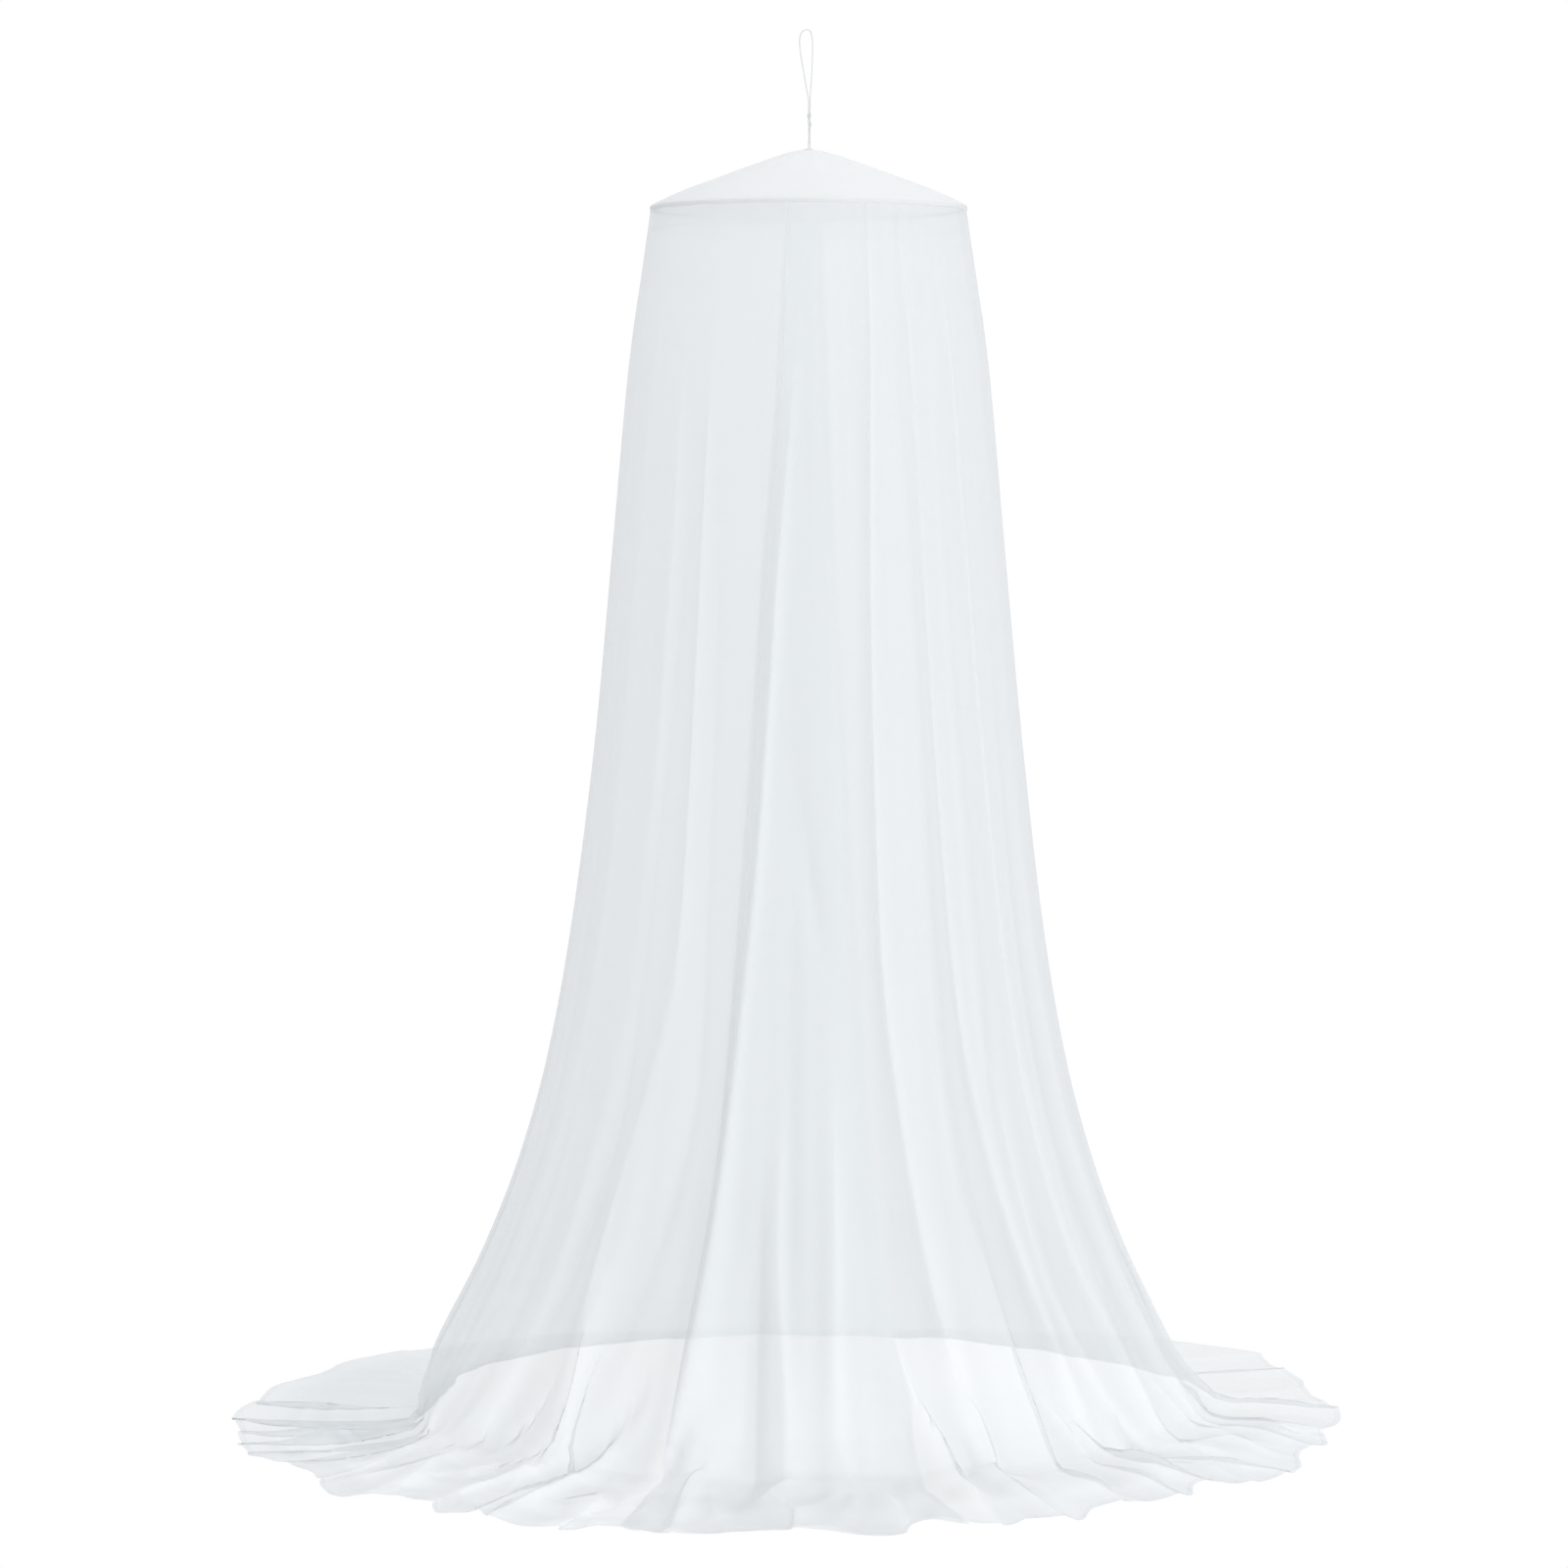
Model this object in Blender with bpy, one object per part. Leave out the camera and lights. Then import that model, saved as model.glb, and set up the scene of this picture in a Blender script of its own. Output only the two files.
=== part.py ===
"""Mosquito net canopy with its hoop.

A net is wrapped once round a hoop, under a shallow cone roof. Its two upright edges lap over
each other at the front, and its hem is spread on the floor. A loop of string carries it.

Metres, +Z up. The origin is the point where a ceiling hook carries the string. The front
faces -Y. An azimuth is in degrees: 0 at the front, 90 at +X, 180 at the back.
"""

import math

import bmesh
import bpy
import numpy as np

# Heights above the floor.
HOOK_HEIGHT = 2.637
APEX_HEIGHT = 2.4135
HOOP_HEIGHT = 2.300

# Clear distance between two pieces that touch.
GAP = 0.0003

# Steps that a smooth curve is measured in before it is cut into even ones.
CURVE_STEPS = 600

# The hoop, and the casing strip that holds it.
RING_STEPS = 72
HOOP_RADIUS = 0.2935
HOOP_WIRE_RADIUS = 0.0028
HOOP_WIRE_SIDES = 6
BAND_SHEET = 0.0012
BAND_DEPTH = 0.041
BAND_LIP_DROP = 0.006

# The roof: outer surface of half of its section, as radius and height over the hoop's plane.
ROOF_SHEET = 0.0012
ROOF_CROWN = APEX_HEIGHT - HOOP_HEIGHT
ROOF_SECTION = (
    # radius, height
    (0.0000, ROOF_CROWN),
    (0.0250, 0.1106),
    (0.0650, 0.0990),
    (0.1200, 0.0796),
    (0.1850, 0.0556),
    (0.2400, 0.0346),
    (0.2800, 0.0164),
    (0.2965, 0.0080),
    (0.3005, 0.0044),
    (0.3010, -0.0030),
)
PATCH_RADIUS = 0.0085
PATCH_SHEET = 0.0012
PATCH_STEPS = 24
PATCH_TOP_RADIUS = 0.0042

# The net: a sheet whose section at rest, between its folds, is this table. The last rows lie
# on the floor. "spread" says how much of a place's own shift on the floor a row takes, "fold"
# how deep its folds are, and "ruffle" how high the waves of the loose hem stand.
NET_SHEET = 0.002
NET_COLUMNS = 136
NET_TOP_RADIUS = 0.2994
NET_TOP_DROP = 0.0035
NET_SECTION = (
    # height, radius, spread, fold, ruffle
    (HOOP_HEIGHT - NET_TOP_DROP, NET_TOP_RADIUS, 0.00, 0.00, 0.00),
    (2.262, 0.3006, 0.00, 0.00, 0.00),
    (2.170, 0.3165, 0.00, 0.12, 0.00),
    (1.990, 0.3410, 0.00, 0.22, 0.00),
    (1.660, 0.3710, 0.00, 0.34, 0.00),
    (1.280, 0.4060, 0.00, 0.46, 0.00),
    (0.940, 0.4430, 0.15, 0.58, 0.00),
    (0.680, 0.4840, 0.28, 0.72, 0.00),
    (0.480, 0.5330, 0.42, 0.84, 0.00),
    (0.320, 0.5870, 0.58, 0.94, 0.00),
    (0.200, 0.6380, 0.72, 1.00, 0.04),
    (0.110, 0.6850, 0.85, 1.00, 0.10),
    (0.045, 0.7250, 0.95, 0.95, 0.25),
    (0.008, 0.7650, 1.00, 0.80, 0.45),
)
FLOOR_ROWS = 4
FLOOR_START_RADIUS = 0.815
FLOOR_FOLD = (0.55, 0.10)
FLOOR_RUFFLE = (0.60, 1.00)

# Where the net stands and ends on the floor, by azimuth: how far its foot is moved outwards,
# the radius of the hem, and the height of the waves there.
FLOOR_SPREAD = (
    # azimuth, foot shift, hem radius, ruffle height
    (-160, -0.030, 0.950, 0.018),
    (-128, 0.000, 0.990, 0.016),
    (-110, 0.020, 1.040, 0.015),
    (-92, 0.035, 1.088, 0.014),
    (-68, 0.045, 1.125, 0.016),
    (-45, 0.055, 1.125, 0.018),
    (-28, 0.055, 1.120, 0.020),
    (-12, 0.045, 1.140, 0.022),
    (-2, 0.030, 1.035, 0.022),
    (4, 0.020, 1.095, 0.022),
    (11, 0.020, 1.020, 0.022),
    (17, 0.020, 1.095, 0.024),
    (23, 0.020, 1.080, 0.026),
    (30, 0.018, 1.010, 0.028),
    (40, 0.015, 1.015, 0.030),
    (52, 0.000, 1.035, 0.034),
    (70, -0.020, 1.020, 0.036),
    (92, -0.035, 1.005, 0.040),
    (110, -0.030, 1.020, 0.044),
    (126, -0.025, 1.095, 0.030),
    (146, -0.030, 0.990, 0.018),
    (172, -0.045, 0.915, 0.018),
)

# The waves of the hem: how many, how far they crowd together and part again as they go round,
# how many times they rise and sink, and how far they draw the hem in and out.
HEM_WAVES = 29
HEM_CROWDING = 2.3
HEM_CROWDING_TURNS = 3
HEM_CROWDING_START = 40.0
HEM_UNEVEN = 0.3
HEM_UNEVEN_TURNS = 11
HEM_WAVE_REACH = 0.014

# The folds stand outwards from that section. Each follows three azimuths down the net.
FOLD_LEVELS = (2.15, 1.10, 0.20)
FOLDS = (
    # azimuth high, middle, low, half width low, depth low
    (-7.0, -10.0, -15.5, 0.052, 0.030),
    (5.0, 4.0, 4.0, 0.060, 0.018),
    (20.0, 18.0, 23.0, 0.052, 0.036),
    (34.0, 35.5, 43.0, 0.055, 0.040),
    (51.0, 52.5, 58.0, 0.055, 0.038),
    (66.0, 68.0, 71.0, 0.058, 0.030),
    (82.0, 84.0, 86.0, 0.056, 0.022),
    (99.0, 101.0, 104.0, 0.060, 0.032),
    (117.0, 119.0, 121.0, 0.058, 0.036),
    (134.0, 135.0, 139.0, 0.060, 0.030),
    (152.0, 153.0, 155.0, 0.062, 0.036),
    (170.0, 169.0, 171.0, 0.058, 0.026),
    (187.0, 186.0, 188.0, 0.060, 0.034),
    (204.0, 205.0, 204.0, 0.062, 0.028),
    (222.0, 221.0, 221.0, 0.058, 0.034),
    (239.0, 240.0, 238.0, 0.060, 0.024),
    (256.0, 257.0, 254.0, 0.056, 0.018),
    (272.0, 271.0, 270.0, 0.056, 0.014),
    (288.0, 286.0, 284.0, 0.058, 0.020),
    (303.0, 302.0, 298.0, 0.058, 0.026),
    (316.0, 318.0, 311.0, 0.050, 0.018),
    (329.0, 330.0, 324.0, 0.052, 0.034),
)
FOLD_WIDTH_HIGH = 0.5

# The two upright edges: the right one lies outside, over the left one, clear of it, and comes
# back to the section between two azimuths. The edges' azimuths are high, in the middle and low.
OVER_EDGE = (-8.5, -16.0, -20.0)
UNDER_EDGE = (4.5, 10.0, 14.5)
LAP_CLEAR_HIGH = 0.0030
LAP_CLEAR_LOW = 0.0110
LAP_CLEAR_HEIGHTS = (HOOP_HEIGHT, 1.2)
LAP_RETURN = (18.0, 40.0)

# The string: the knot, the twisted pair under it, and the route of the open loop over it, as
# places across and below the hook. The loop's two ends stand on the knot.
CORD_RADIUS = 0.0012
KNOT_X = 0.0013
KNOT_TOP = -0.1556
KNOT_BOTTOM = -0.1642
KNOT_RADIUS = 0.0044
KNOT_FLAT_RADIUS = 0.0030
KNOT_CUT = 0.14
KNOT_LOBES = 2
KNOT_LOBE_DEPTH = 0.09
KNOT_LOBE_TURN = 3.0
KNOT_SECTIONS = 10
KNOT_SIDES = 16
LOOP_FOOT = KNOT_TOP + GAP
LOOP_ROUTE = (
    # x, z
    (0.0027, LOOP_FOOT),
    (0.0028, -0.1400),
    (0.0030, -0.1250),
    (0.0052, -0.0950),
    (0.0068, -0.0620),
    (0.0074, -0.0320),
    (0.0066, -0.0140),
    (0.0040, -0.0035),
    (0.0000, CORD_RADIUS),
    (-0.0060, CORD_RADIUS),
    (-0.0125, -0.0030),
    (-0.0166, -0.0130),
    (-0.0166, -0.0300),
    (-0.0132, -0.0560),
    (-0.0076, -0.0880),
    (-0.0018, -0.1200),
    (-0.0001, -0.1300),
    (-0.0001, LOOP_FOOT),
)
LOOP_STEPS = 50
TWIST_WIDTH = 0.0060
TWIST_WAIST = 0.0034
TWIST_LOBE_POWER = 1.5
TWIST_TURNS = 3.0
TWIST_SECTIONS = 30
TWIST_SIDES = 10

COLOURS = {
    # colour, roughness, metallic
    "net": ((0.84, 0.87, 0.89), 0.85, 0.0),
    "roof_cloth": ((0.88, 0.91, 0.93), 0.80, 0.0),
    "band_cloth": ((0.86, 0.89, 0.91), 0.80, 0.0),
    "hoop": ((0.86, 0.88, 0.89), 0.45, 0.0),
    "string": ((0.80, 0.81, 0.82), 0.75, 0.0),
}


def level(height):
    """World Z of a height above the floor."""
    return height - HOOK_HEIGHT


def blend(low, high, share):
    return low + (high - low) * share


def smooth_step(start, end, value):
    share = min(1.0, max(0.0, (value - start) / (end - start)))
    return share * share * (3.0 - 2.0 * share)


def curve_through(points, share):
    """Point at a share of the smooth curve through the points."""
    place = share * (len(points) - 1)
    index = min(int(place), len(points) - 2)
    t = place - index
    p0 = points[max(index - 1, 0)]
    p1 = points[index]
    p2 = points[index + 1]
    p3 = points[min(index + 2, len(points) - 1)]
    return (
        p1
        + 0.5 * t * (p2 - p0)
        + t * t * (p0 - 2.5 * p1 + 2.0 * p2 - 0.5 * p3)
        + t * t * t * (1.5 * (p1 - p2) + 0.5 * (p3 - p0))
    )


def even_curve(points, steps):
    """Places evenly spaced along the smooth curve through the points."""
    fine = np.array([curve_through(points, i / CURVE_STEPS) for i in range(CURVE_STEPS + 1)])
    run = np.concatenate(([0.0], np.cumsum(np.linalg.norm(np.diff(fine, axis=0), axis=1))))
    wanted = np.linspace(0.0, run[-1], steps + 1)
    return np.column_stack([np.interp(wanted, run, fine[:, k]) for k in range(fine.shape[1])])


def wrapped(angle):
    """The same angle between -180 and 180 degrees."""
    return (angle + 180.0) % 360.0 - 180.0


def radial(azimuth):
    """Unit vector that points outwards at an azimuth."""
    turn = math.radians(azimuth)
    return np.array((math.sin(turn), -math.cos(turn), 0.0))


def material(name):
    """The material of that name, made the first time it is asked for."""
    if name in bpy.data.materials:
        return bpy.data.materials[name]
    colour, roughness, metallic = COLOURS[name]
    made = bpy.data.materials.new(name)
    made.use_nodes = True
    shader = made.node_tree.nodes["Principled BSDF"]
    shader.inputs["Base Color"].default_value = (*colour, 1.0)
    shader.inputs["Roughness"].default_value = roughness
    shader.inputs["Metallic"].default_value = metallic
    return made


def add_object(name, data, finish):
    made = bpy.data.objects.new(name, data)
    made.data.materials.append(finish)
    bpy.context.collection.objects.link(made)
    return made


def mesh_object(name, points, faces, finish, sharp_angle=40.0):
    """Object of one closed mesh, shaded smooth up to the sharp angle."""
    mesh = bpy.data.meshes.new(name)
    mesh.from_pydata([tuple(p) for p in points], [], faces)
    cleaner = bmesh.new()
    cleaner.from_mesh(mesh)
    bmesh.ops.recalc_face_normals(cleaner, faces=cleaner.faces)
    cleaner.to_mesh(mesh)
    cleaner.free()
    mesh.shade_smooth()
    mesh.set_sharp_from_angle(angle=math.radians(sharp_angle))
    return add_object(name, mesh, finish)


def turned(name, section, steps, finish):
    """Body turned from a closed section of (radius, z) points about the Z axis.

    A point at radius 0 stays one vertex on the axis.
    """
    points = []
    rings = []
    for radius, z in section:
        if radius == 0.0:
            rings.append([len(points)] * steps)
            points.append((0.0, 0.0, z))
            continue
        rings.append(list(range(len(points), len(points) + steps)))
        for step in range(steps):
            points.append(radial(360.0 * step / steps) * radius + np.array((0.0, 0.0, z)))
    faces = []
    for here, ring in enumerate(rings):
        after = rings[(here + 1) % len(rings)]
        if ring[0] == ring[1] and after[0] == after[1]:
            continue
        for step in range(steps):
            following = (step + 1) % steps
            corners = (ring[step], ring[following], after[following], after[step])
            faces.append(tuple(dict.fromkeys(corners)))
    return mesh_object(name, points, faces, finish)


def offset_section(section, distance):
    """The open section moved sideways, to the inner side of one that runs outwards."""
    points = np.array(section, dtype=float)
    moved = []
    for index, point in enumerate(points):
        before = points[max(index - 1, 0)]
        after = points[min(index + 1, len(points) - 1)]
        run = (after - before) / np.linalg.norm(after - before)
        moved.append(point + distance * np.array((run[1], -run[0])))
    return moved


def tube_section(radius, wire_radius, z, sides):
    turns = [2.0 * math.pi * side / sides for side in range(sides)]
    return [(radius + wire_radius * math.cos(t), z + wire_radius * math.sin(t)) for t in turns]


def add_hoop():
    section = tube_section(HOOP_RADIUS, HOOP_WIRE_RADIUS, level(HOOP_HEIGHT), HOOP_WIRE_SIDES)
    turned("hoop", section, RING_STEPS, material("hoop"))


def add_heading_band():
    """Casing strip: it hangs outside the hoop, and its upper edge is turned in over the hoop."""
    z = level(HOOP_HEIGHT)
    reach = HOOP_WIRE_RADIUS + GAP
    inner = HOOP_RADIUS + reach
    outer = inner + BAND_SHEET
    lip_outer = HOOP_RADIUS - reach
    lip_inner = lip_outer - BAND_SHEET
    section = (
        (outer, z - BAND_DEPTH),
        (outer, z + reach + BAND_SHEET),
        (lip_inner, z + reach + BAND_SHEET),
        (lip_inner, z - BAND_LIP_DROP),
        (lip_outer, z - BAND_LIP_DROP),
        (lip_outer, z + reach),
        (inner, z + reach),
        (inner, z - BAND_DEPTH),
    )
    turned("heading_band", section, RING_STEPS, material("band_cloth"))


def add_roof():
    z = level(HOOP_HEIGHT)
    outside = [(r, z + h) for r, h in ROOF_SECTION]
    inside = [(max(0.0, r), h) for r, h in offset_section(outside, ROOF_SHEET)]
    inside[0] = (0.0, outside[0][1] - ROOF_SHEET)
    turned("roof", outside + inside[::-1], RING_STEPS, material("roof_cloth"))


def add_apex_patch():
    """Round patch on the roof's point, with a small flat on top where the string leaves."""
    slope = (ROOF_CROWN - ROOF_SECTION[1][1]) / ROOF_SECTION[1][0]
    base = level(APEX_HEIGHT) + GAP
    section = (
        (0.0, base),
        (PATCH_RADIUS, base - slope * PATCH_RADIUS),
        (PATCH_RADIUS, base - slope * PATCH_RADIUS + PATCH_SHEET),
        (PATCH_TOP_RADIUS, base + PATCH_SHEET),
        (0.0, base + PATCH_SHEET),
    )
    turned("apex_patch", section, PATCH_STEPS, material("band_cloth"))


def ring_table(table, azimuth, column):
    """A column's value at an azimuth, smooth round the ring."""
    around = [row[0] for row in table]
    place = around[0] + (azimuth - around[0]) % 360.0
    index = max(i for i, value in enumerate(around) if value <= place)
    ends = around + [around[0] + 360.0]
    t = (place - ends[index]) / (ends[index + 1] - ends[index])
    values = [table[(index + k) % len(table)][column] for k in (-1, 0, 1, 2)]
    return curve_through(values, (1.0 + t) / 3.0)


def down_the_net(height, values):
    """A value given high, in the middle and low on the net, at a height."""
    high, middle, low = values
    if height >= FOLD_LEVELS[1]:
        return blend(middle, high, smooth_step(FOLD_LEVELS[1], FOLD_LEVELS[0], height))
    return blend(low, middle, smooth_step(FOLD_LEVELS[2], FOLD_LEVELS[1], height))


def fold_depth(azimuth, height, radius, share):
    """How far the folds stand out at a place on the net."""
    depth = 0.0
    for high, middle, low, half_width, deep in FOLDS:
        centre = down_the_net(height, (high, middle, low))
        width = half_width * blend(FOLD_WIDTH_HIGH, 1.0, share)
        away = math.radians(wrapped(azimuth - centre)) * radius / width
        depth += deep * share * math.exp(-away * away)
    return depth


def hem_wave(azimuth):
    """Uneven wave round the hem, from 0 to 1."""
    crowding = math.sin(math.radians(HEM_CROWDING_TURNS * azimuth + HEM_CROWDING_START))
    wave = math.sin(math.radians(HEM_WAVES * azimuth) + HEM_CROWDING * crowding)
    rise = 1.0 - HEM_UNEVEN + HEM_UNEVEN * math.sin(math.radians(HEM_UNEVEN_TURNS * azimuth))
    return 0.5 * (1.0 + wave) * rise


def net_rows():
    """Rows of the section down to the hem: height, radius, spread, fold, ruffle, floor share."""
    rows = [(*row, 0.0) for row in NET_SECTION]
    for row in range(FLOOR_ROWS):
        share = row / (FLOOR_ROWS - 1)
        fold = blend(*FLOOR_FOLD, share)
        ruffle = blend(*FLOOR_RUFFLE, share)
        rows.append((NET_SHEET / 2, FLOOR_START_RADIUS, 1.0, fold, ruffle, share))
    return rows


def rest_section(azimuth):
    """Points (radius, height) of the section between folds at an azimuth."""
    shift = ring_table(FLOOR_SPREAD, azimuth, 1)
    hem = ring_table(FLOOR_SPREAD, azimuth, 2) + HEM_WAVE_REACH * (hem_wave(azimuth) - 0.5)
    section = []
    for height, radius, spread, _, _, share in net_rows():
        place = radius + shift * spread
        section.append((blend(place, hem, share), height))
    return section


def net_column(azimuths, clearances):
    """Points of one column of the net, each row at its own azimuth and clearance."""
    points = []
    for row, (_, _, _, fold, ruffle, _) in enumerate(net_rows()):
        azimuth = azimuths[row]
        section = rest_section(azimuth)
        radius, height = section[row]
        before = np.array(section[max(row - 1, 0)])
        after = np.array(section[min(row + 1, len(section) - 1)])
        run = (after - before) / np.linalg.norm(after - before)
        out = np.array((-run[1], run[0]))
        rise = fold_depth(azimuth, height, radius, fold) if fold else 0.0
        rise += ruffle * ring_table(FLOOR_SPREAD, azimuth, 3) * hem_wave(azimuth)
        place = np.array((radius, height)) + out * (rise + clearances[row])
        height = max(place[1], NET_SHEET / 2)
        points.append(radial(azimuth) * place[0] + np.array((0.0, 0.0, level(height))))
    return points


def net_columns():
    """Columns of the net, from its outer upright edge round to its inner one."""
    rows = net_rows()
    columns = []
    for step in range(NET_COLUMNS + 1):
        share = step / NET_COLUMNS
        azimuths = []
        clearances = []
        for row in rows:
            start = down_the_net(row[0], OVER_EDGE)
            end = 360.0 + down_the_net(row[0], UNDER_EDGE)
            azimuth = blend(start, end, share)
            clear = blend(LAP_CLEAR_HIGH, LAP_CLEAR_LOW, smooth_step(*LAP_CLEAR_HEIGHTS, row[0]))
            azimuths.append(azimuth)
            clearances.append(clear * (1.0 - smooth_step(*LAP_RETURN, azimuth)))
        columns.append(net_column(azimuths, clearances))
    return columns


def add_net():
    """The net's sheet, given its thickness on both sides of the middle surface."""
    columns = net_columns()
    count = len(columns[0])
    points = [point for column in columns for point in column]
    faces = []
    for column in range(NET_COLUMNS):
        for row in range(count - 1):
            a = column * count + row
            b = a + count
            if (column + row) % 2:
                faces.extend(((a, b, b + 1), (a, b + 1, a + 1)))
            else:
                faces.extend(((a, b, a + 1), (b, b + 1, a + 1)))
    net = mesh_object("net", points, faces, material("net"), 180.0)
    wall = net.modifiers.new("thickness", "SOLIDIFY")
    wall.thickness = NET_SHEET
    wall.offset = 0.0
    wall.use_even_offset = False


def add_cord_loop():
    """Open loop of string: up from the knot, over the hook and down to the knot again."""
    route = even_curve([np.array(point) for point in LOOP_ROUTE], LOOP_STEPS)
    curve = bpy.data.curves.new("cord_loop", "CURVE")
    curve.dimensions = "3D"
    curve.bevel_depth = CORD_RADIUS
    curve.bevel_resolution = 2
    curve.use_fill_caps = True
    spline = curve.splines.new("POLY")
    spline.points.add(len(route) - 1)
    for point, (x, z) in zip(spline.points, route):
        point.co = (x, 0.0, z, 1.0)
    add_object("cord_loop", curve, material("string"))


def stacked_body(name, bottom, top, sections, sides, outline):
    """Closed body of string. outline(share, turn) gives a section's radius on its way up."""
    points = []
    for section in range(sections + 1):
        share = section / sections
        for side in range(sides):
            turn = 2.0 * math.pi * side / sides
            radius = outline(share, turn)
            across = KNOT_X + radius * math.cos(turn)
            points.append((across, radius * math.sin(turn), blend(bottom, top, share)))
    faces = [tuple(range(sides))]
    for section in range(sections):
        for side in range(sides):
            here = section * sides + side
            following = section * sides + (side + 1) % sides
            faces.append((here, following, following + sides, here + sides))
    faces.append(tuple(range(sections * sides, (sections + 1) * sides)))
    mesh_object(name, points, faces, material("string"), 60.0)


def add_cord_twist():
    """Twisted pair of strings from the apex patch to the knot."""
    bottom = level(APEX_HEIGHT) + GAP + PATCH_SHEET + GAP

    def outline(share, turn):
        across = abs(math.cos(turn - 2.0 * math.pi * TWIST_TURNS * share))
        return 0.5 * blend(TWIST_WAIST, TWIST_WIDTH, across**TWIST_LOBE_POWER)

    stacked_body("cord_twist", bottom, KNOT_BOTTOM - GAP, TWIST_SECTIONS, TWIST_SIDES, outline)


def add_cord_knot():
    """Round knot with the turns of its string raised in it."""

    def outline(share, turn):
        ball = math.sin(math.pi * blend(KNOT_CUT, 1.0 - KNOT_CUT, share))
        lobes = math.cos(KNOT_LOBES * (turn - KNOT_LOBE_TURN * share))
        return max(KNOT_FLAT_RADIUS, KNOT_RADIUS * ball * (1.0 + KNOT_LOBE_DEPTH * lobes))

    stacked_body("cord_knot", KNOT_BOTTOM, KNOT_TOP, KNOT_SECTIONS, KNOT_SIDES, outline)


def clear_scene():
    for old in list(bpy.data.objects):
        bpy.data.objects.remove(old, do_unlink=True)


def main():
    clear_scene()
    add_hoop()
    add_heading_band()
    add_roof()
    add_apex_patch()
    add_net()
    add_cord_loop()
    add_cord_twist()
    add_cord_knot()


main()
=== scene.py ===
"""The dressed mosquito net canopy.

A sheer net hangs from a hoop under a small cone roof of closer cloth. Its two upright edges
lap at the front, and its hem lies spread on the floor. A knotted loop of string carries it.

Metres. The origin is the point where a ceiling hook carries the string. The front faces -Y.
An azimuth is in degrees: 0 at the front, 90 at +X, 180 at the back.
"""

import math

import bpy
import numpy as np
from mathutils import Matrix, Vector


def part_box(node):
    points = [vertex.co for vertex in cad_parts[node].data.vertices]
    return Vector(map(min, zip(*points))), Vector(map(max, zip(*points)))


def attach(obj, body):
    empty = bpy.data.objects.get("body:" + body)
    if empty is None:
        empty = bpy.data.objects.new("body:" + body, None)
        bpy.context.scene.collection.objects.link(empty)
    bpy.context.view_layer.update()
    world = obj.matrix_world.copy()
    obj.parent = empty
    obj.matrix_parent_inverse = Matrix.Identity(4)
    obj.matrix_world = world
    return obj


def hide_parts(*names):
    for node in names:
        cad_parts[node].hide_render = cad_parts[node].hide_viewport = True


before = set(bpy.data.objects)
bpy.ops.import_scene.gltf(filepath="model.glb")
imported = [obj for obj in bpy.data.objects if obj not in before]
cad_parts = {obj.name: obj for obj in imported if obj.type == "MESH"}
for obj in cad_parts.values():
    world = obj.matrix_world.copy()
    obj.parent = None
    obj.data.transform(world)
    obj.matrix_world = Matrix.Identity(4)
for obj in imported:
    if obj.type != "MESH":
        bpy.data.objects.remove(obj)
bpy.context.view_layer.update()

# ---------------------------------------------------------------- sizes from the frame
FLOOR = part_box("net")[0].z
HOOP_LOW, HOOP_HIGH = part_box("hoop")
HOOP_LEVEL = (HOOP_LOW.z + HOOP_HIGH.z) / 2
HOOP_WIRE_RADIUS = (HOOP_HIGH.z - HOOP_LOW.z) / 2
HOOP_RADIUS = HOOP_HIGH.x - HOOP_WIRE_RADIUS
HOOP_HEIGHT = HOOP_LEVEL - FLOOR
BAND_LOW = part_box("heading_band")[0]
ROOF_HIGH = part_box("roof")[1]
PATCH_LOW, PATCH_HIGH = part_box("apex_patch")
KNOT_LOW, KNOT_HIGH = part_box("cord_knot")
TWIST_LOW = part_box("cord_twist")[0]

# ---------------------------------------------------------------- the net's cut and its lie
# Section between the folds, as in the solid: the last rows lie on the floor.
SHEET_HALF = 0.001
FOOT_RADIUS = 0.765
FOOT_HEIGHT = 0.008
NET_SECTION = (
    # height, radius, spread, fold, ruffle
    (HOOP_HEIGHT - 0.0035, 0.2994, 0.00, 0.00, 0.00),
    (2.262, 0.3006, 0.00, 0.00, 0.00),
    (2.170, 0.3165, 0.00, 0.06, 0.00),
    (1.990, 0.3410, 0.00, 0.10, 0.00),
    (1.660, 0.3710, 0.00, 0.12, 0.00),
    (1.280, 0.4060, 0.00, 0.16, 0.00),
    (0.940, 0.4430, 0.15, 0.27, 0.00),
    (0.680, 0.4840, 0.28, 0.42, 0.00),
    (0.480, 0.5330, 0.42, 0.60, 0.00),
    (0.320, 0.5870, 0.58, 0.80, 0.00),
    (0.200, 0.6380, 0.72, 1.00, 0.04),
    (0.110, 0.6850, 0.85, 1.00, 0.10),
    (0.045, 0.7250, 0.95, 0.90, 0.25),
    (FOOT_HEIGHT, FOOT_RADIUS, 1.00, 0.70, 0.45),
    (SHEET_HALF, 0.8150, 1.00, 0.50, 0.62),
    (SHEET_HALF, 0.8150, 1.00, 0.32, 0.78),
    (SHEET_HALF, 0.8150, 1.00, 0.18, 0.90),
    (SHEET_HALF, 0.8150, 1.00, 0.08, 1.00),
)
WALL_ROWS = 14
# The section's slope is taken between places this far either way.
SECTION_STEP = 0.05

# How far the foot of the wall is moved outwards round the ring.
FOOT_SHIFT = (
    # azimuth, shift
    (-160, -0.030),
    (-128, 0.000),
    (-110, 0.020),
    (-92, 0.035),
    (-68, 0.045),
    (-45, 0.055),
    (-28, 0.055),
    (-12, 0.045),
    (-2, 0.030),
    (4, 0.020),
    (23, 0.020),
    (40, 0.015),
    (52, 0.005),
    (70, 0.000),
    (92, 0.002),
    (110, 0.000),
    (126, -0.015),
    (146, -0.030),
    (172, -0.045),
)

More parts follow.
